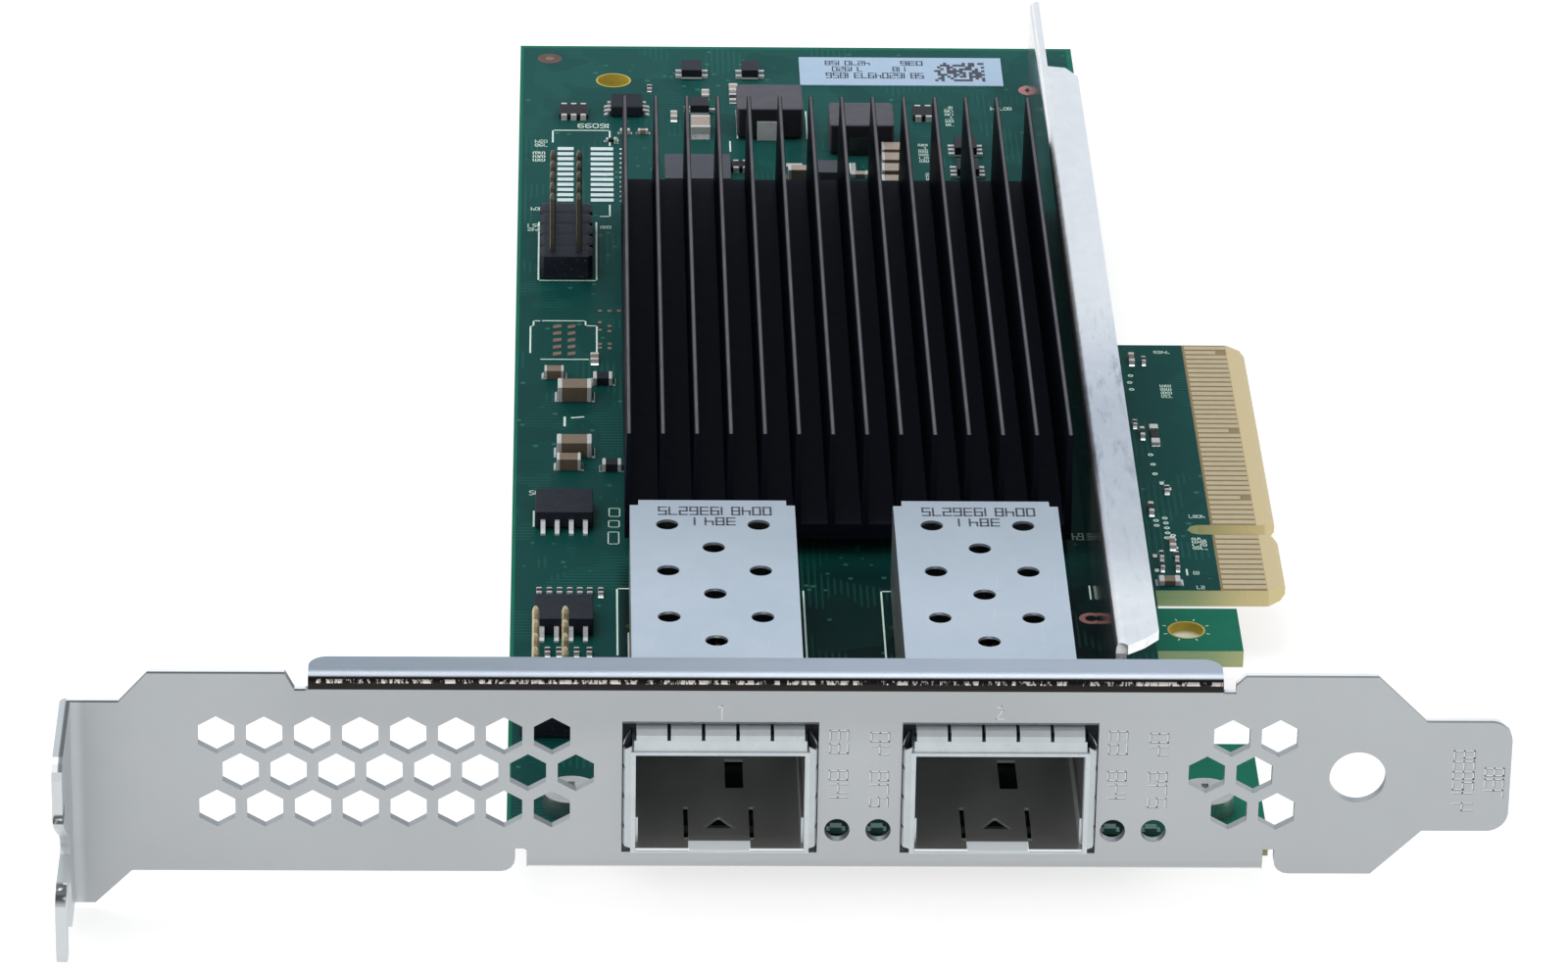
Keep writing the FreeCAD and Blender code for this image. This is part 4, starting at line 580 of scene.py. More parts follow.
# ------------------------------------------------------------------ mesh builder
class Mesh:
    def __init__(self):
        self.v, self.f, self.mi, self.sm = [], [], [], []

    def add(self, verts, faces, mi=0, smooth=False):
        o = len(self.v)
        self.v += [tuple(q) for q in verts]
        for f in faces:
            self.f.append([o + i for i in f])
            self.mi.append(mi)
            self.sm.append(smooth)

    def prism(self, pts, z0, z1, mi=0, top_scale=None):
        """Closed prism over card-frame points (x, y), from z0 to z1."""
        n = len(pts)
        cx = sum(p[0] for p in pts) / n
        cy = sum(p[1] for p in pts) / n
        k = 1.0 if top_scale is None else top_scale
        vs = [P(x, y, z0) for x, y in pts] + [P(cx + (x - cx) * k, cy + (y - cy) * k, z1) for x, y in pts]
        fs = [list(range(n))[::-1], list(range(n, 2 * n))]
        fs += [[i, (i + 1) % n, n + (i + 1) % n, n + i] for i in range(n)]
        self.add(vs, fs, mi)

    def cbox(self, lo, hi, c, mi=0, cz=None):
        """Box with chamfered edges and corners; lo and hi in card millimetres."""
        cz = c if cz is None else cz
        x0, y0, z0 = lo
        x1, y1, z1 = hi
        c = min(c, (x1 - x0) * 0.45, (y1 - y0) * 0.45)
        cz = min(cz, (z1 - z0) * 0.45)
        rings = []
        for z, i in ((z0, c), (z0 + cz, 0.0), (z1 - cz, 0.0), (z1, c)):
            a = [(x0 + i + c, y0 + i), (x1 - i - c, y0 + i), (x1 - i, y0 + i + c), (x1 - i, y1 - i - c),
                 (x1 - i - c, y1 - i), (x0 + i + c, y1 - i), (x0 + i, y1 - i - c), (x0 + i, y0 + i + c)]
            if i > 0:
                a = [(x0 + c * 1.3, y0 + c), (x1 - c * 1.3, y0 + c), (x1 - c, y0 + c * 1.3), (x1 - c, y1 - c * 1.3),
                     (x1 - c * 1.3, y1 - c), (x0 + c * 1.3, y1 - c), (x0 + c, y1 - c * 1.3), (x0 + c, y0 + c * 1.3)]
            rings.append([P(px, py, z) for px, py in a])
        vs = [p for r in rings for p in r]
        fs = [list(range(8))[::-1], list(range(24, 32))]
        for k in range(3):
            for i in range(8):
                j = (i + 1) % 8
                fs.append([8 * k + i, 8 * k + j, 8 * k + 8 + j, 8 * k + 8 + i])
        self.add(vs, fs, mi)

    def lathe(self, x, y, prof, seg=20, mi=0, smooth=True):
        """Closed solid of revolution about a vertical axis; prof is [(r, z), ...] from bottom to top."""
        vs, fs = [], []
        n = len(prof)
        for r, z in prof:
            for k in range(seg):
                a = 2 * math.pi * k / seg
                vs.append(P(x + r * math.cos(a), y + r * math.sin(a), z))
        for i in range(n - 1):
            for k in range(seg):
                j = (k + 1) % seg
                fs.append([i * seg + k, i * seg + j, (i + 1) * seg + j, (i + 1) * seg + k])
        self.add(vs, fs, mi, smooth)
        o = len(self.v) - len(vs)
        self.f.append([o + k for k in range(seg)][::-1]); self.mi.append(mi); self.sm.append(False)
        self.f.append([o + (n - 1) * seg + k for k in range(seg)]); self.mi.append(mi); self.sm.append(False)

    def stroke(self, pts, w, z0, z1, mi=0, closed=False):
        """Raised line of width w along card-frame points."""
        pts = list(pts) + ([pts[0]] if closed else [])
        for (ax, ay), (bx, by) in zip(pts[:-1], pts[1:]):
            dx, dy = bx - ax, by - ay
            ln = math.hypot(dx, dy)
            if ln < 1e-6:
                continue
            ux, uy = dx / ln, dy / ln
            nx, ny = -uy * w / 2, ux * w / 2
            ex, ey = ux * w / 2, uy * w / 2
            self.prism([(ax - ex + nx, ay - ey + ny), (ax - ex - nx, ay - ey - ny), (bx + ex - nx, by + ey - ny), (bx + ex + nx, by + ey + ny)][::1], z0, z1, mi)

    def make(self, name, mats, replaces=(), weld=True):
        me = bpy.data.meshes.new(name)
        me.from_pydata(self.v, [], self.f)
        for m in mats:
            me.materials.append(m)
        for p, mi, s in zip(me.polygons, self.mi, self.sm):
            p.material_index = mi
            p.use_smooth = s
        bm = bmesh.new()
        bm.from_mesh(me)
        bmesh.ops.recalc_face_normals(bm, faces=bm.faces)
        bm.to_mesh(me)
        bm.free()
        ob = bpy.data.objects.new(name, me)
        sc.collection.objects.link(ob)
        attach(ob, "root")
        if replaces:
            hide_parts(*replaces)
        return ob


def islands(name):
    """Card-frame boxes of the separate solids in a carried-over part."""
    me = N[name].data
    key = {}
    rep = []
    for v in me.vertices:
        k = (round(v.co.x * 1e6), round(v.co.y * 1e6), round(v.co.z * 1e6))
        rep.append(key.setdefault(k, len(key)))
    par = list(range(len(key)))

    def find(a):
        while par[a] != a:
            par[a] = par[par[a]]
            a = par[a]
        return a
    for p in me.polygons:
        vs = [rep[i] for i in p.vertices]
        for a in vs[1:]:
            ra, rb = find(vs[0]), find(a)
            if ra != rb:
                par[rb] = ra
    out = {}
    for i, v in enumerate(me.vertices):
        r = find(rep[i])
        c = (v.co.x / MM, v.co.y / MM + OY, v.co.z / MM - OZ)
        if r not in out:
            out[r] = [list(c), list(c)]
        lo, hi = out[r]
        for k in range(3):
            lo[k] = min(lo[k], c[k])
            hi[k] = max(hi[k], c[k])
    return sorted(([tuple(a), tuple(b)] for a, b in out.values()), key=lambda q: (round(q[0][1], 2), round(q[0][0], 2)))


# ------------------------------------------------------------------ small soldered parts
def two_ended(m, lo, hi, body=0, end=1, frac=0.26, top=None, pad=2, fillet=3, along=None):
    """A chip part: moulded middle, wrapped metal ends, pads and solder fillets."""
    lx, ly, h = hi[0] - lo[0], hi[1] - lo[1], hi[2] - lo[2]
    ax = along if along is not None else (0 if lx >= ly else 1)
    ln = (lx, ly)[ax]
    wd = (ly, lx)[ax]
    e = ln * frac
    g = min(0.03, wd * 0.04)
    b0, b1 = list(lo), list(hi)
    b0[ax] += e * 0.5
    b1[ax] -= e * 0.5
    b0[1 - ax] += g
    b1[1 - ax] -= g
    b1[2] -= g
    m.cbox(b0, b1, 0.03, body)
    for s in (0, 1):
        c0, c1 = list(lo), list(hi)
        if s == 0:
            c1[ax] = lo[ax] + e
        else:
            c0[ax] = hi[ax] - e
        m.cbox(c0, c1, min(0.05, h * 0.12), end)
        # pad under and beyond the end
        p0, p1 = list(c0), list(c1)
        out = min(0.28, 0.12 + 0.1 * ln)
        if s == 0:
            p0[ax] -= out
        else:
            p1[ax] += out
        q = [(p0[0], p0[1]), (p1[0], p0[1]), (p1[0], p1[1]), (p0[0], p1[1])]
        m.prism(q, 0.0, 0.03, pad)
        # fillet wedge
        fh = min(h * 0.6, 0.5)
        base = lo[ax] if s == 0 else hi[ax]
        sg = -1.0 if s == 0 else 1.0
        a, b = lo[1 - ax] + wd * 0.06, hi[1 - ax] - wd * 0.06
        prof = [(base - sg * 0.02, 0.03), (base + sg * out * 0.9, 0.03), (base + sg * out * 0.35, fh * 0.35), (base - sg * 0.02, fh)]
        vs = []
        for w in (a, b):
            for t, z in prof:
                vs.append(P(t, w, z) if ax == 0 else P(w, t, z))
        m.add(vs, [[0, 1, 2, 3], [7, 6, 5, 4], [0, 4, 5, 1], [1, 5, 6, 2], [2, 6, 7, 3], [3, 7, 4, 0]], fillet)


m = Mesh()
for lo, hi in islands("small_capacitors"):
    two_ended(m, lo, hi, 4 if hi[0] - lo[0] < 0.52 else 0, 1)
m.make("ceramic_chips", [MCAP, MTIN, MSOL, MSOL, MRES], ("small_capacitors",))

m = Mesh()
for lo, hi in islands("resistors"):
    two_ended(m, lo, hi, 0, 1, 0.24)
m.make("film_chips", [MRES, MTIN, MSOL, MSOL], ("resistors",))

m = Mesh()
for lo, hi in islands("large_capacitors"):
    two_ended(m, lo, hi, 0, 1, 0.14)
m.make("ceramic_blocks", [MCAP, MTIN, MSOL, MSOL], ("large_capacitors",))

m = Mesh()
for lo, hi in islands("resistor_arrays"):
    cols = 3 if hi[0] - lo[0] > 2.5 else 2
    w = (hi[0] - lo[0]) / cols
    m.cbox((lo[0], lo[1] + 0.16, lo[2]), (hi[0], hi[1] - 0.16, hi[2] - 0.02), 0.05, 0)
    for k in range(cols):
        cx = lo[0] + (k + 0.5) * w
        for ya, yb in ((lo[1], lo[1] + 0.36), (hi[1] - 0.36, hi[1])):
            m.cbox((cx - w * 0.30, ya, lo[2]), (cx + w * 0.30, yb, hi[2]), 0.05, 1)
            m.prism([(cx - w * 0.33, ya - 0.1), (cx + w * 0.33, ya - 0.1), (cx + w * 0.33, yb + 0.1), (cx - w * 0.33, yb + 0.1)], 0.0, 0.03, 2)
m.make("film_networks", [MRES, MTIN, MSOL], ("resistor_arrays",))

# small chips: one with legs on both sides, the others with wrapped ends
m = Mesh()
for lo, hi in islands("small_chips"):
    if hi[0] - lo[0] < 2.5:
        two_ended(m, (lo[0], lo[1], 0.0), hi, 0, 1, 0.2)
        continue
    m.cbox(lo, hi, 0.12, 0, 0.10)
    for k in range(3):
        y = lo[1] + 0.45 + k * 0.95
        for sx, x in ((-1, lo[0]), (1, hi[0])):
            a, b = sorted((x + sx * 0.28, x - sx * 0.15))
            m.cbox((a, y, 0.45), (b, y + 0.4, 0.62), 0.03, 1)
            a, b = sorted((x + sx * 0.20, x + sx * 0.34))
            m.cbox((a, y, 0.03), (b, y + 0.4, 0.62), 0.03, 1)
            a, b = sorted((x + sx * 0.22, x + sx * 0.62))
            m.cbox((a, y, 0.02), (b, y + 0.4, 0.16), 0.03, 1)
            a, b = sorted((x + sx * 0.15, x + sx * 0.70))
            m.prism([(a, y - 0.05), (b, y - 0.05), (b, y + 0.45), (a, y + 0.45)], 0.0, 0.03, 2)
m.make("small_ics", [MCHIP, MTIN, MSOL], ("small_chips",))


# ------------------------------------------------------------------ pads, joints and legend on the board
def ring_pts(x, y, r, n=24, a0=0.0, a1=2 * math.pi):
    return [(x + r * math.cos(a0 + (a1 - a0) * k / n), y + r * math.sin(a0 + (a1 - a0) * k / n)) for k in range(n + (0 if a1 - a0 > 6.28 else 1))]


def annulus(m, x, y, r0, r1, z0, z1, mi=0, seg=24):
    """Flat closed ring."""
    vs = []
    for z in (z0, z1):
        for r in (r0, r1):
            vs += [P(x + r * math.cos(2 * math.pi * k / seg), y + r * math.sin(2 * math.pi * k / seg), z) for k in range(seg)]
    fs = []
    for k in range(seg):
        j = (k + 1) % seg
        a, b, c, d = 0, seg, 2 * seg, 3 * seg
        fs += [[a + k, a + j, b + j, b + k], [c + k, d + k, d + j, c + j], [b + k, b + j, d + j, d + k], [a + j, a + k, c + k, c + j]]
    m.add(vs, fs, mi)


def tips(name, zlim, above=False):
    """Centres (card x, y) of the vertex clusters of a carried-over part below (or above) a height."""
    pts = []
    for v in N[name].data.vertices:
        z = v.co.z / MM - OZ
        if (z > zlim) if above else (z < zlim):
            pts.append((v.co.x / MM, v.co.y / MM + OY))
    out = []
    for p in pts:
        for c in out:
            if abs(c[0] - p[0]) < 0.9 and abs(c[1] - p[1]) < 0.9:
                c[2].append(p)
                break
        else:
            out.append([p[0], p[1], [p]])
    return [(sum(q[0] for q in c[2]) / len(c[2]), sum(q[1] for q in c[2]) / len(c[2])) for c in out]


BT = -(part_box("pcb")[1].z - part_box("pcb")[0].z) / MM     # card z of the board's underside
joints = Mesh()
for nm in ("cage_cover_1", "cage_cover_2"):
    for x, y in tips(nm, BT - 0.3):
        annulus(joints, x, y, 0.2, 0.62, BT - 0.03, BT, 0, 16)
        joints.lathe(x, y, [(0.22, BT - 0.42), (0.34, BT - 0.25), (0.55, BT - 0.03)], 14, 0)
for nm in ("header_pins", "jumper_pins"):
    for x, y in tips(nm, BT - 0.5):
        joints.lathe(x, y, [(0.40, BT - 0.62), (0.48, BT - 0.35), (0.72, BT - 0.05), (0.86, BT - 0.01)], 16, 0)
joints.make("solder_joints", [MSOL])


def pin(m, x, y, w, z0, z1, tip, corner, mi=0):
    """Square pin with rounded corners and pointed ends."""
    vs = []
    rings = ((z0, 0.45), (z0 + tip, 1.0), (z1 - tip, 1.0), (z1 - tip * 0.35, 0.72), (z1, 0.34))
    h = w / 2
    for z, k in rings:
        a, b = h * k, (h - corner) * k
        vs += [P(x + px, y + py, z) for px, py in ((-b, -a), (b, -a), (a, -b), (a, b), (b, a), (-b, a), (-a, b), (-a, -b))]
    fs = [list(range(8))[::-1], list(range(32, 40))]
    for q in range(4):
        for i in range(8):
            j = (i + 1) % 8
            fs.append([8 * q + i, 8 * q + j, 8 * q + 8 + j, 8 * q + 8 + i])
    m.add(vs, fs, mi)


def row_blocks(name, piece, c):
    """A header's moulding: one chamfered block for each pair of pins."""
    lo, hi = [(p.x / MM, p.y / MM + OY, p.z / MM - OZ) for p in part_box(name)]
    n = max(1, int(round((hi[1] - lo[1]) / 2.54)))
    st = (hi[1] - lo[1]) / n
    m = Mesh()
    for k in range(n):
        m.cbox((lo[0], lo[1] + k * st, lo[2]), (hi[0], lo[1] + (k + 1) * st, hi[2]), c, 0, 0.12)
    m.cbox((lo[0] + 0.4, lo[1] + 0.3, lo[2] + 0.1), (hi[0] - 0.4, hi[1] - 0.3, hi[2] - 0.25), 0.1, 0)
    m.make(piece, [MHEAD], (name,))


row_blocks("header_body", "header_blocks", 0.42)
row_blocks("jumper_body", "jumper_blocks", 0.42)
for name, piece, mat, w, corner in (("header_pins", "header_posts", MPIN, 0.54, 0.07), ("jumper_pins", "jumper_posts", MJPIN, 0.62, 0.17)):
    zlo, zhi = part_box(name)[0].z / MM - OZ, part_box(name)[1].z / MM - OZ
    m = Mesh()
    for x, y in tips(name, zhi - 1.0, True):
        pin(m, x, y, w, zlo, zhi, 0.55, corner)
    m.make(piece, [mat], (name,))

# printed legend, bare pads and vias on the component side
leg = Mesh()
TICKS = []
W, T = 0.16, 0.02


def seg_digits(m, x0, y0, x1, y1, text, w=None):
    """Plain numbers filling a box, read from the board's far side; a tall box is read sideways."""
    lx, ly = x1 - x0, y1 - y0
    side = ly > lx * 1.6
    run, hgt = (ly, lx) if side else (lx, ly)
    n = len(text)
    cell = run / n
    dw, dh = cell * 0.68, hgt * 0.9
    w = w or min(0.15, dw * 0.28, dh * 0.2)
    segs = {"a": ((0, 1), (1, 1)), "b": ((1, 1), (1, .5)), "c": ((1, .5), (1, 0)), "d": ((0, 0), (1, 0)), "e": ((0, 0), (0, .5)), "f": ((0, .5), (0, 1)), "g": ((0, .5), (1, .5))}
    table = {"0": "abcdef", "1": "bc", "2": "abged", "3": "abgcd", "4": "fgbc", "5": "afgcd", "6": "afgcde", "7": "abc", "8": "abcdefg", "9": "abcdfg"}
    for i, ch in enumerate(text):
        for sg in table[ch]:
            pts = []
            for u, v in segs[sg]:
                a, b = i * cell + u * dw, v * dh
                pts.append((x1 - b, y1 - a) if side else (x1 - a, y1 - b))
            m.stroke(pts, w, 0.0, T, 0)


def rows_of(m, box, rows, n, seed):
    x0, y0, x1, y1 = box
    q = random.Random(seed)
    tall = (y1 - y0) > (x1 - x0) * 1.6
    for k in range(rows):
        if tall:
            a, b = x0 + (x1 - x0) * k / rows, x0 + (x1 - x0) * (k + 0.82) / rows
            seg_digits(m, a, y0, b, y1, "".join(q.choice("0123456789") for _ in range(n)))
        else:
            a, b = y0 + (y1 - y0) * k / rows, y0 + (y1 - y0) * (k + 0.78) / rows
            seg_digits(m, x0, a, x1, b, "".join(q.choice("0123456789") for _ in range(n)))


for i, (box_, rows, n) in enumerate((
        ((-21.8, 144.8, -20.5, 146.7), 2, 3), ((-21.9, 140.9, -20.6, 143.6), 2, 3), ((-22.1, 129.2, -20.9, 130.2), 1, 3),
        ((-22.4, 124.3, -21.0, 126.2), 2, 3), ((-15.3, 124.9, -14.2, 125.8), 1, 3), ((-13.8, 145.6, -13.3, 147.3), 1, 3),
        ((-17.6, 149.5, -13.9, 150.9), 1, 5), ((16.6, 141.2, 17.6, 146.0), 2, 6), ((17.1, 136.9, 17.6, 138.8), 1, 3),
        ((19.6, 150.3, 20.5, 155.5), 2, 6), ((36.9, 96.9, 38.5, 97.6), 1, 4), ((37.1, 87.0, 38.2, 90.0), 2, 4),
        ((37.8, 61.9, 39.3, 62.7), 1, 4), ((37.8, 55.4, 39.2, 57.9), 2, 4), ((37.5, 47.7, 38.3, 48.5), 1, 2),
        ((37.5, 50.4, 38.1, 51.6), 1, 2), ((24.2, 154.6, 26.4, 155.6), 1, 5), ((-21.9, 66.0, -20.9, 67.2), 1, 2))):
    rows_of(leg, box_, rows, n, 40 + i)
seg_digits(leg, 26.95, 57.3, 28.05, 58.7, "64", 0.12)


def line(*pts, w=W):
    leg.stroke(pts, w, 0.0, T, 0)


line((-21.88, 96.46), (-21.88, 102.4), (-21.6, 102.4), (-21.6, 103.56), (-20.88, 103.56), (-20.88, 103.6), (-16.66, 103.6), (-16.66, 102.49), (-15.6, 102.49), (-15.6, 96.5))
line((-20.84, 95.0), (-16.42, 95.0))
line((-21.2, 126.4), (-21.2, 112.8), (-15.6, 112.8))
line((-21.35, 59.7), (-21.35, 62.75))
line((-15.6, 112.8), (-15.6, 126.4))
line((-19.92, 146.0), (-19.92, 148.95), (-14.23, 148.95), (-14.23, 145.2))
line((-14.27, 130.6), (-14.27, 127.88), (-15.18, 127.88))
line((-12.74, 47.36), (-13.9, 47.36), (-13.9, 34.6))
line((2.6, 34.0), (2.6, 47.0))
line((9.5, 34.0), (9.5, 47.0), (10.8, 47.0))
line((28.05, 45.7), (28.05, 48.2))
line((-1.42, 147.2), (-1.42, 154.2)); line((5.58, 147.2), (5.58, 154.0))
line((-2.2, 143.9), (-2.2, 146.4)); line((9.66, 137.6), (9.66, 141.1))
line((36.95, 50.5), (36.95, 51.6))
leg.make("board_legend", [MSILK])

pads = Mesh()
for k in range(5):
    y = 95.9 + k * (102.7 - 95.9 - 0.75) / 4
    for a, b in ((-19.74, -18.95), (-18.35, -17.62)):
        pads.prism([(a, y - 0.1), (b, y + 0.15), (b, y + 0.85), (a, y + 0.6)], 0.0, 0.03, 0)
for k in range(11):
    y = 131.45 + k * 1.255
    for a, b in ((-19.44, -17.83), (-16.14, -13.89)):
        pads.cbox((a, y, 0.0), (b, y + 0.72, 0.05), 0.04, 2)
for x, y in ((-15.28, 105.93), (-14.36, 105.94), (-13.46, 105.95), (-15.28, 103.35), (-15.28, 101.64), (-14.37, 102.5), (-14.37, 101.36),
             (-15.29, 98.51), (-15.3, 97.66), (-14.38, 98.52), (-14.39, 97.56)):
    pads.cbox((x - 0.2, y - 0.22, 0.0), (x + 0.2, y + 0.22, 0.04), 0.04, 0)
pads.lathe(-20.31, 167.32, [(0.5, 0.0), (0.5, 0.03)], 20, 0)
for x, y in ((34.3, 51.4), (34.3, 54.3), (36.5, 67.9), (35.9, 69.1)):
    pads.cbox((x - 0.2, y - 0.3, 0.0), (x + 0.2, y + 0.3, 0.04), 0.04, 1)
# bare metal strips beside the two cages, for their side tabs
for x0, y0, x1, y1 in ((-13.0, 34.0, -12.86, 38.8), (10.42, 46.0, 10.6, 47.4), (3.31, 140.2, 4.9, 141.0), (9.8, 139.0, 10.2, 141.2)):
    pads.prism([(x0, y0), (x1, y0), (x1, y1), (x0, y1)], 0.0, 0.04, 1)
pads.make("bare_pads", [MCOP, MTIN, MPADW])

vias = Mesh()
for k in range(12):
    vias.lathe(-13.1, 131.6 + k * 1.16, [(0.17, 0.0), (0.17, 0.02)], 10, 0)
for x, y0, y1, n in ((35.7, 57.9, 61.9, 5), (36.15, 55.9, 58.4, 4), (34.9, 60.4, 61.4, 2), (34.4, 89.0, 92.0, 3), (35.3, 71.0, 75.0, 3)):
    for k in range(n):
        y = y0 + (y1 - y0) * k / max(1, n - 1)
        annulus(vias, x + rnd.uniform(-0.12, 0.12), y, 0.12, 0.26, 0.0, 0.02, 0, 12)
vias.make("via_rings", [MSILK])

# tooling marks: reddish ring pads
rings = Mesh()
for x, y, r1, r2 in ((27.86, 41.9, 0.55, 1.08), (28.66, 159.75, 0.62, 1.3)):
    annulus(rings, x, y, r1, r2, 0.0, 0.03, 0, 40)
annulus(rings, -20.31, 167.32, 0.55, 1.25, 0.0, 0.015, 1, 32)
rings.make("ring_pads", [MPINK, MFID])

# white ticks round the hole in the small tab
for k in range(8):
    a = math.pi * (k + 0.5) / 4
    leg2 = (36.1 + 1.9 * math.cos(a), 39.8 + 1.9 * math.sin(a)), (36.1 + 2.15 * math.cos(a), 39.8 + 2.15 * math.sin(a))
    TICKS.append(leg2)
ticks = Mesh()
for a, b in TICKS:
    ticks.stroke((a, b), 0.09, 0.0, 0.02, 0)
for x0, y0, x1, y1 in ((-14.55, 61.75, -13.6, 63.4), (-14.6, 59.6, -13.65, 60.9), (-14.65, 56.2, -13.7, 58.6)):
    ticks.stroke(((x0, y0), (x1, y0), (x1, y1), (x0, y1)), 0.1, 0.0, 0.02, 0, True)
ticks.stroke(((-18.6, 82.4), (-18.6, 80.6)), 0.22, 0.0, 0.02, 0)
ticks.stroke(((-17.9, 82.3), (-16.9, 82.5)), 0.22, 0.0, 0.02, 0)
ticks.make("legend_ticks", [MSILK])

# label: a few rows of plain numbers and a patterned block
lab = Mesh()
LT = 0.1


def label_digits(x0, y0, x1, y1, text):
    before = len(lab.v)
    seg_digits(lab, x0, y0, x1, y1, text)
    for i in range(before, len(lab.v)):
        v = lab.v[i]
        lab.v[i] = (v[0], v[1], v[2] + LT * MM)


label_digits(7.7, 165.8, 12.4, 166.9, "4270158")
label_digits(15.4, 165.8, 17.8, 166.9, "036")
label_digits(8.4, 164.2, 11.6, 165.4, "71920")
label_digits(14.6, 164.2, 16.4, 165.4, "118")
label_digits(7.7, 162.4, 17.8, 163.8, "58162049731856")
for i in range(16):
    for j in range(10):
        if rnd.random() < 0.52:
            x, y = 19.0 + i * 0.32, 161.8 + j * 0.48
            vs = [P(a, b, c) for c in (LT, LT + 0.02) for a, b in ((x, y), (x + 0.33, y), (x + 0.33, y + 0.49), (x, y + 0.49))]
            lab.add(vs, [[3, 2, 1, 0], [4, 5, 6, 7], [0, 1, 5, 4], [1, 2, 6, 5], [2, 3, 7, 6], [3, 0, 4, 7]], 0)
lab.make("label_marks", [MINK])

roof = Mesh()


def roof_digits(x0, y0, x1, y1, text):
    before = len(roof.v)
    seg_digits(roof, x0, y0, x1, y1, text, 0.17)
    for i in range(before, len(roof.v)):
        v = roof.v[i]
        roof.v[i] = (v[0], v[1], v[2] + ROOF * MM)


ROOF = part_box("cage_cover_1")[1].z / MM - OZ
for cx in (-5.6, 17.55):
    roof_digits(cx - 5.0, 43.3, cx + 5.1, 44.9, "00481936275")
    roof_digits(cx - 1.9, 41.3, cx + 1.9, 42.8, "3841")
roof.make("cage_numbers", [MINK])

# a plain 1 and 2 stamped above the ports, painted lighter than the plate: a painted highlight
num = Mesh()


def front_stroke(m, pts, w, d):
    for (ax, az), (bx, bz) in zip(pts[:-1], pts[1:]):
        ln = math.hypot(bx - ax, bz - az)
        ux, uz = (bx - ax) / ln * w / 2, (bz - az) / ln * w / 2
        q = [(ax - ux - uz, az - uz + ux), (ax - ux + uz, az - uz - ux), (bx + ux + uz, bz + uz - ux), (bx + ux - uz, bz + uz + ux)]
        vs = [P(x, -d, z) for x, z in q] + [P(x, 0.0, z) for x, z in q]
        m.add(vs, [[0, 1, 2, 3], [7, 6, 5, 4], [0, 4, 5, 1], [1, 5, 6, 2], [2, 6, 7, 3], [3, 7, 4, 0]], 0)


front_stroke(num, [(-5.8, 13.1), (-5.52, 13.25), (-5.52, 12.0)], 0.10, 0.012)
front_stroke(num, [(17.2, 13.15), (17.55, 13.25), (17.68, 12.95), (17.15, 12.1), (17.75, 12.1)], 0.10, 0.012)
num.make("port_numbers", [MNUM])

stamp = Mesh()


def stamped(x0, z0, x1, z1, text, w):
    """Plain numbers on the bracket's face, read from the side; the strokes are painted lighter than the plate (painted
    highlight) and get a darker offset copy (painted shadow).
    """
    segs = {"a": ((0, 1), (1, 1)), "b": ((1, 1), (1, .5)), "c": ((1, .5), (1, 0)), "d": ((0, 0), (1, 0)), "e": ((0, 0), (0, .5)), "f": ((0, .5), (0, 1)), "g": ((0, .5), (1, .5))}
    table = {"0": "abcdef", "1": "bc", "2": "abged", "3": "abgcd", "4": "fgbc", "5": "afgcd", "6": "afgcde", "7": "abc", "8": "abcdefg", "9": "abcdfg", " ": ""}
    cell = (z1 - z0) / len(text)
    for i, ch in enumerate(text):
        for sg in table[ch]:
            pts = []
            for u, v in segs[sg]:
                pts.append((x1 - v * (x1 - x0), z0 + i * cell + u * cell * 0.66))
            pts = [(x0 + x1 - a, b) for a, b in pts]
            (ax, az), (bx, bz) = pts
            front_stroke(stamp, [(ax, az), (bx, bz)], w, 0.01)
            # painted shadow: a thinner, darker copy of the stroke, offset by 0.07 mm
            off = 0.07
            vs = [(ax + off, az - off), (bx + off, bz - off)]
            front_stroke(shade, vs, w * 0.7, 0.006)


shade = Mesh()
for a in ((3.45, 3.9, 4.9, 11.4, "148 63"), (6.85, 3.9, 8.3, 11.2, "279 40"), (26.55, 3.9, 28.0, 11.4, "148 63"), (29.95, 3.9, 31.4, 11.2, "279 40")):
    stamped(*a[:4], a[4], 0.10)
stamped(55.25, 3.7, 56.9, 9.6, "412839", 0.12)
stamped(57.9, 4.9, 59.4, 8.0, "738", 0.12)
stamp.make("stamped_numbers", [MNUM])
shade.make("stamped_shade", [MSHADE])

# rounded edges on the carried-over mouldings
soften("inductors", 0.35, 3)
soften("flash_chips", 0.12, 2)
soften("regulator_chips", 0.10, 2)
soften("controller_chip", 0.15, 2)



# ------------------------------------------------------------------ floor, camera, light
def soft_floor():
    me = bpy.data.meshes.new("floor")
    bm = bmesh.new()
    z = CAD_BOX[0].z - 0.0008
    n, s = 12, 1.2
    vs = [[bm.verts.new((-s + 2 * s * i / n, -s + 2 * s * j / n, z)) for i in range(n + 1)] for j in range(n + 1)]
    for j in range(n):
        for i in range(n):
            bm.faces.new((vs[j][i], vs[j][i + 1], vs[j + 1][i + 1], vs[j + 1][i]))
    bm.to_mesh(me)
    bm.free()
    ob = bpy.data.objects.new("floor", me)
    sc.collection.objects.link(ob)
    g = Mat("floor_paper")
    g.set(color=g.mix(g.noise(0.004, 2.0, 0.5), lin(160, 160, 160), lin(166, 166, 166)), rough=0.9, metal=0.0, spec=0.1, emit=(1.0, 1.0, 1.0, 1.0), emit_k=0.72)
    me.materials.append(g.m)


soft_floor()

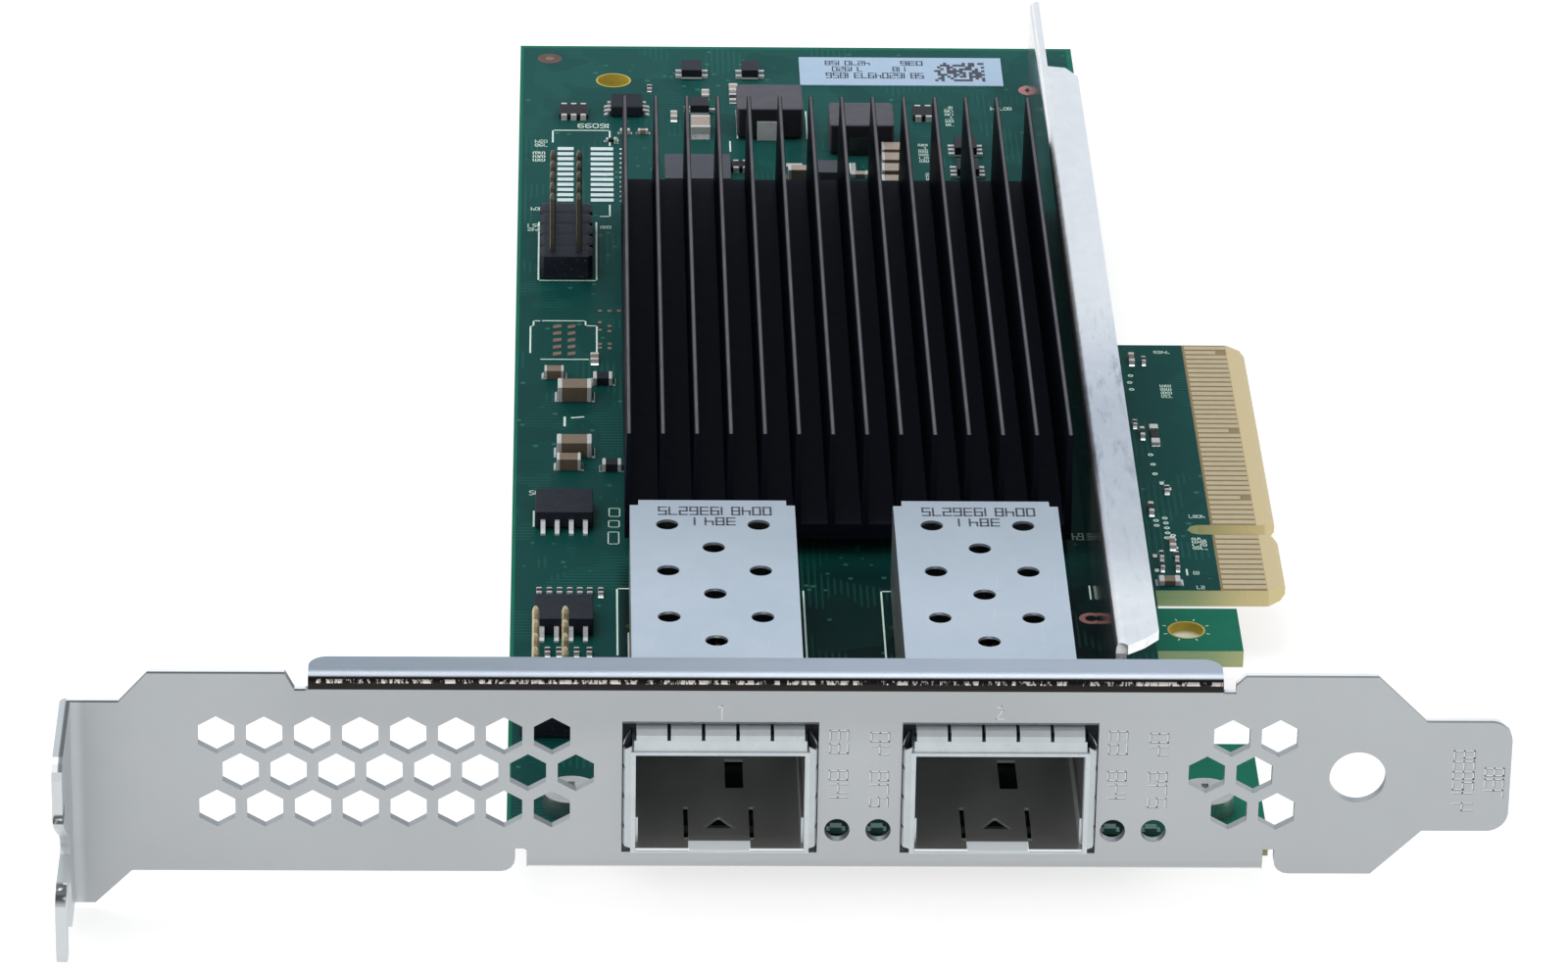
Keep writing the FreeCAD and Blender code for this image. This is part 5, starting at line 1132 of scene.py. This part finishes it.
YAW, PITCH, ROLL = math.radians(1.82), math.radians(26.124), math.radians(1.053)
f = Vector((math.sin(YAW) * math.cos(PITCH), math.cos(YAW) * math.cos(PITCH), -math.sin(PITCH)))
r0 = Vector((math.cos(YAW), -math.sin(YAW), 0.0))
u0 = r0.cross(f)
r = math.cos(ROLL) * r0 + math.sin(ROLL) * u0
u = -math.sin(ROLL) * r0 + math.cos(ROLL) * u0
cd = bpy.data.cameras.new("camera")
cam = bpy.data.objects.new("camera", cd)
sc.collection.objects.link(cam)
cam.matrix_world = Matrix(((r.x, u.x, -f.x, -0.018481), (r.y, u.y, -f.y, -0.645794), (r.z, u.z, -f.z, 0.316669), (0, 0, 0, 1)))
cd.sensor_width = 36.0
cd.lens = 178.235
cd.shift_x = -0.00201
cd.shift_y = 0.00016
cd.clip_start, cd.clip_end = 0.02, 10.0
sc.camera = cam


def area(name, loc, target, size, power, color=(1, 1, 1), size_y=None):
    ld = bpy.data.lights.new(name, "AREA")
    ld.energy = power
    ld.color = color
    ld.size = size
    if size_y:
        ld.shape = "RECTANGLE"
        ld.size_y = size_y
    o = bpy.data.objects.new(name, ld)
    o.location = loc
    o.rotation_mode = "QUATERNION"
    o.rotation_quaternion = (Vector(target) - Vector(loc)).to_track_quat("-Z", "Y")
    sc.collection.objects.link(o)
    return o


area("key_top", (-0.25, 0.25, 1.1), (0, 0, 0), 0.8, 6.0, (1.0, 0.99, 0.975))
area("fill_front", (-0.55, -1.1, 0.55), (0, -0.05, 0), 0.8, 2.0, (1.0, 0.99, 0.98))

wd = bpy.data.worlds.new("studio")
sc.world = wd
wd.use_nodes = True
wn = wd.node_tree
bg = wn.nodes["Background"]
wtc = wn.nodes.new("ShaderNodeTexCoord")
wsep = wn.nodes.new("ShaderNodeSeparateXYZ")
wn.links.new(wtc.outputs["Generated"], wsep.inputs[0])
# the tent is open at the front above the camera: a darker band there
dotn = wn.nodes.new("ShaderNodeVectorMath")
dotn.operation = "DOT_PRODUCT"
wn.links.new(wtc.outputs["Generated"], dotn.inputs[0])
dotn.inputs[1].default_value = (0.0, -0.60, 0.80)
mr = wn.nodes.new("ShaderNodeMapRange")
mr.interpolation_type = "SMOOTHSTEP"
wn.links.new(dotn.outputs["Value"], mr.inputs["Value"])
mr.inputs["From Min"].default_value = 0.86
mr.inputs["From Max"].default_value = 0.97
rampn = wn.nodes.new("ShaderNodeMix")
rampn.data_type = "RGBA"
wn.links.new(mr.outputs["Result"], rampn.inputs[0])
rampn.inputs[7].default_value = (0.10, 0.10, 0.11, 1)
# and the far wall behind the card is a shade darker and cooler than the top
dotb = wn.nodes.new("ShaderNodeVectorMath")
dotb.operation = "DOT_PRODUCT"
wn.links.new(wtc.outputs["Generated"], dotb.inputs[0])
dotb.inputs[1].default_value = (0.0, 0.90, 0.44)
mb = wn.nodes.new("ShaderNodeMapRange")
mb.interpolation_type = "SMOOTHSTEP"
wn.links.new(dotb.outputs["Value"], mb.inputs["Value"])
mb.inputs["From Min"].default_value = 0.70
mb.inputs["From Max"].default_value = 0.95
back = wn.nodes.new("ShaderNodeMix")
back.data_type = "RGBA"
wn.links.new(mb.outputs["Result"], back.inputs[0])
back.inputs[6].default_value = (1.0, 1.0, 1.0, 1)
back.inputs[7].default_value = (0.56, 0.62, 0.68, 1)
wn.links.new(back.outputs[2], rampn.inputs[6])
wn.links.new(rampn.outputs[2], bg.inputs["Color"])
bg.inputs["Strength"].default_value = 1.05

sc.view_settings.view_transform = "Standard"
sc.view_settings.look = "None"
sc.view_settings.exposure = 0.0
sc.view_settings.gamma = 1.0
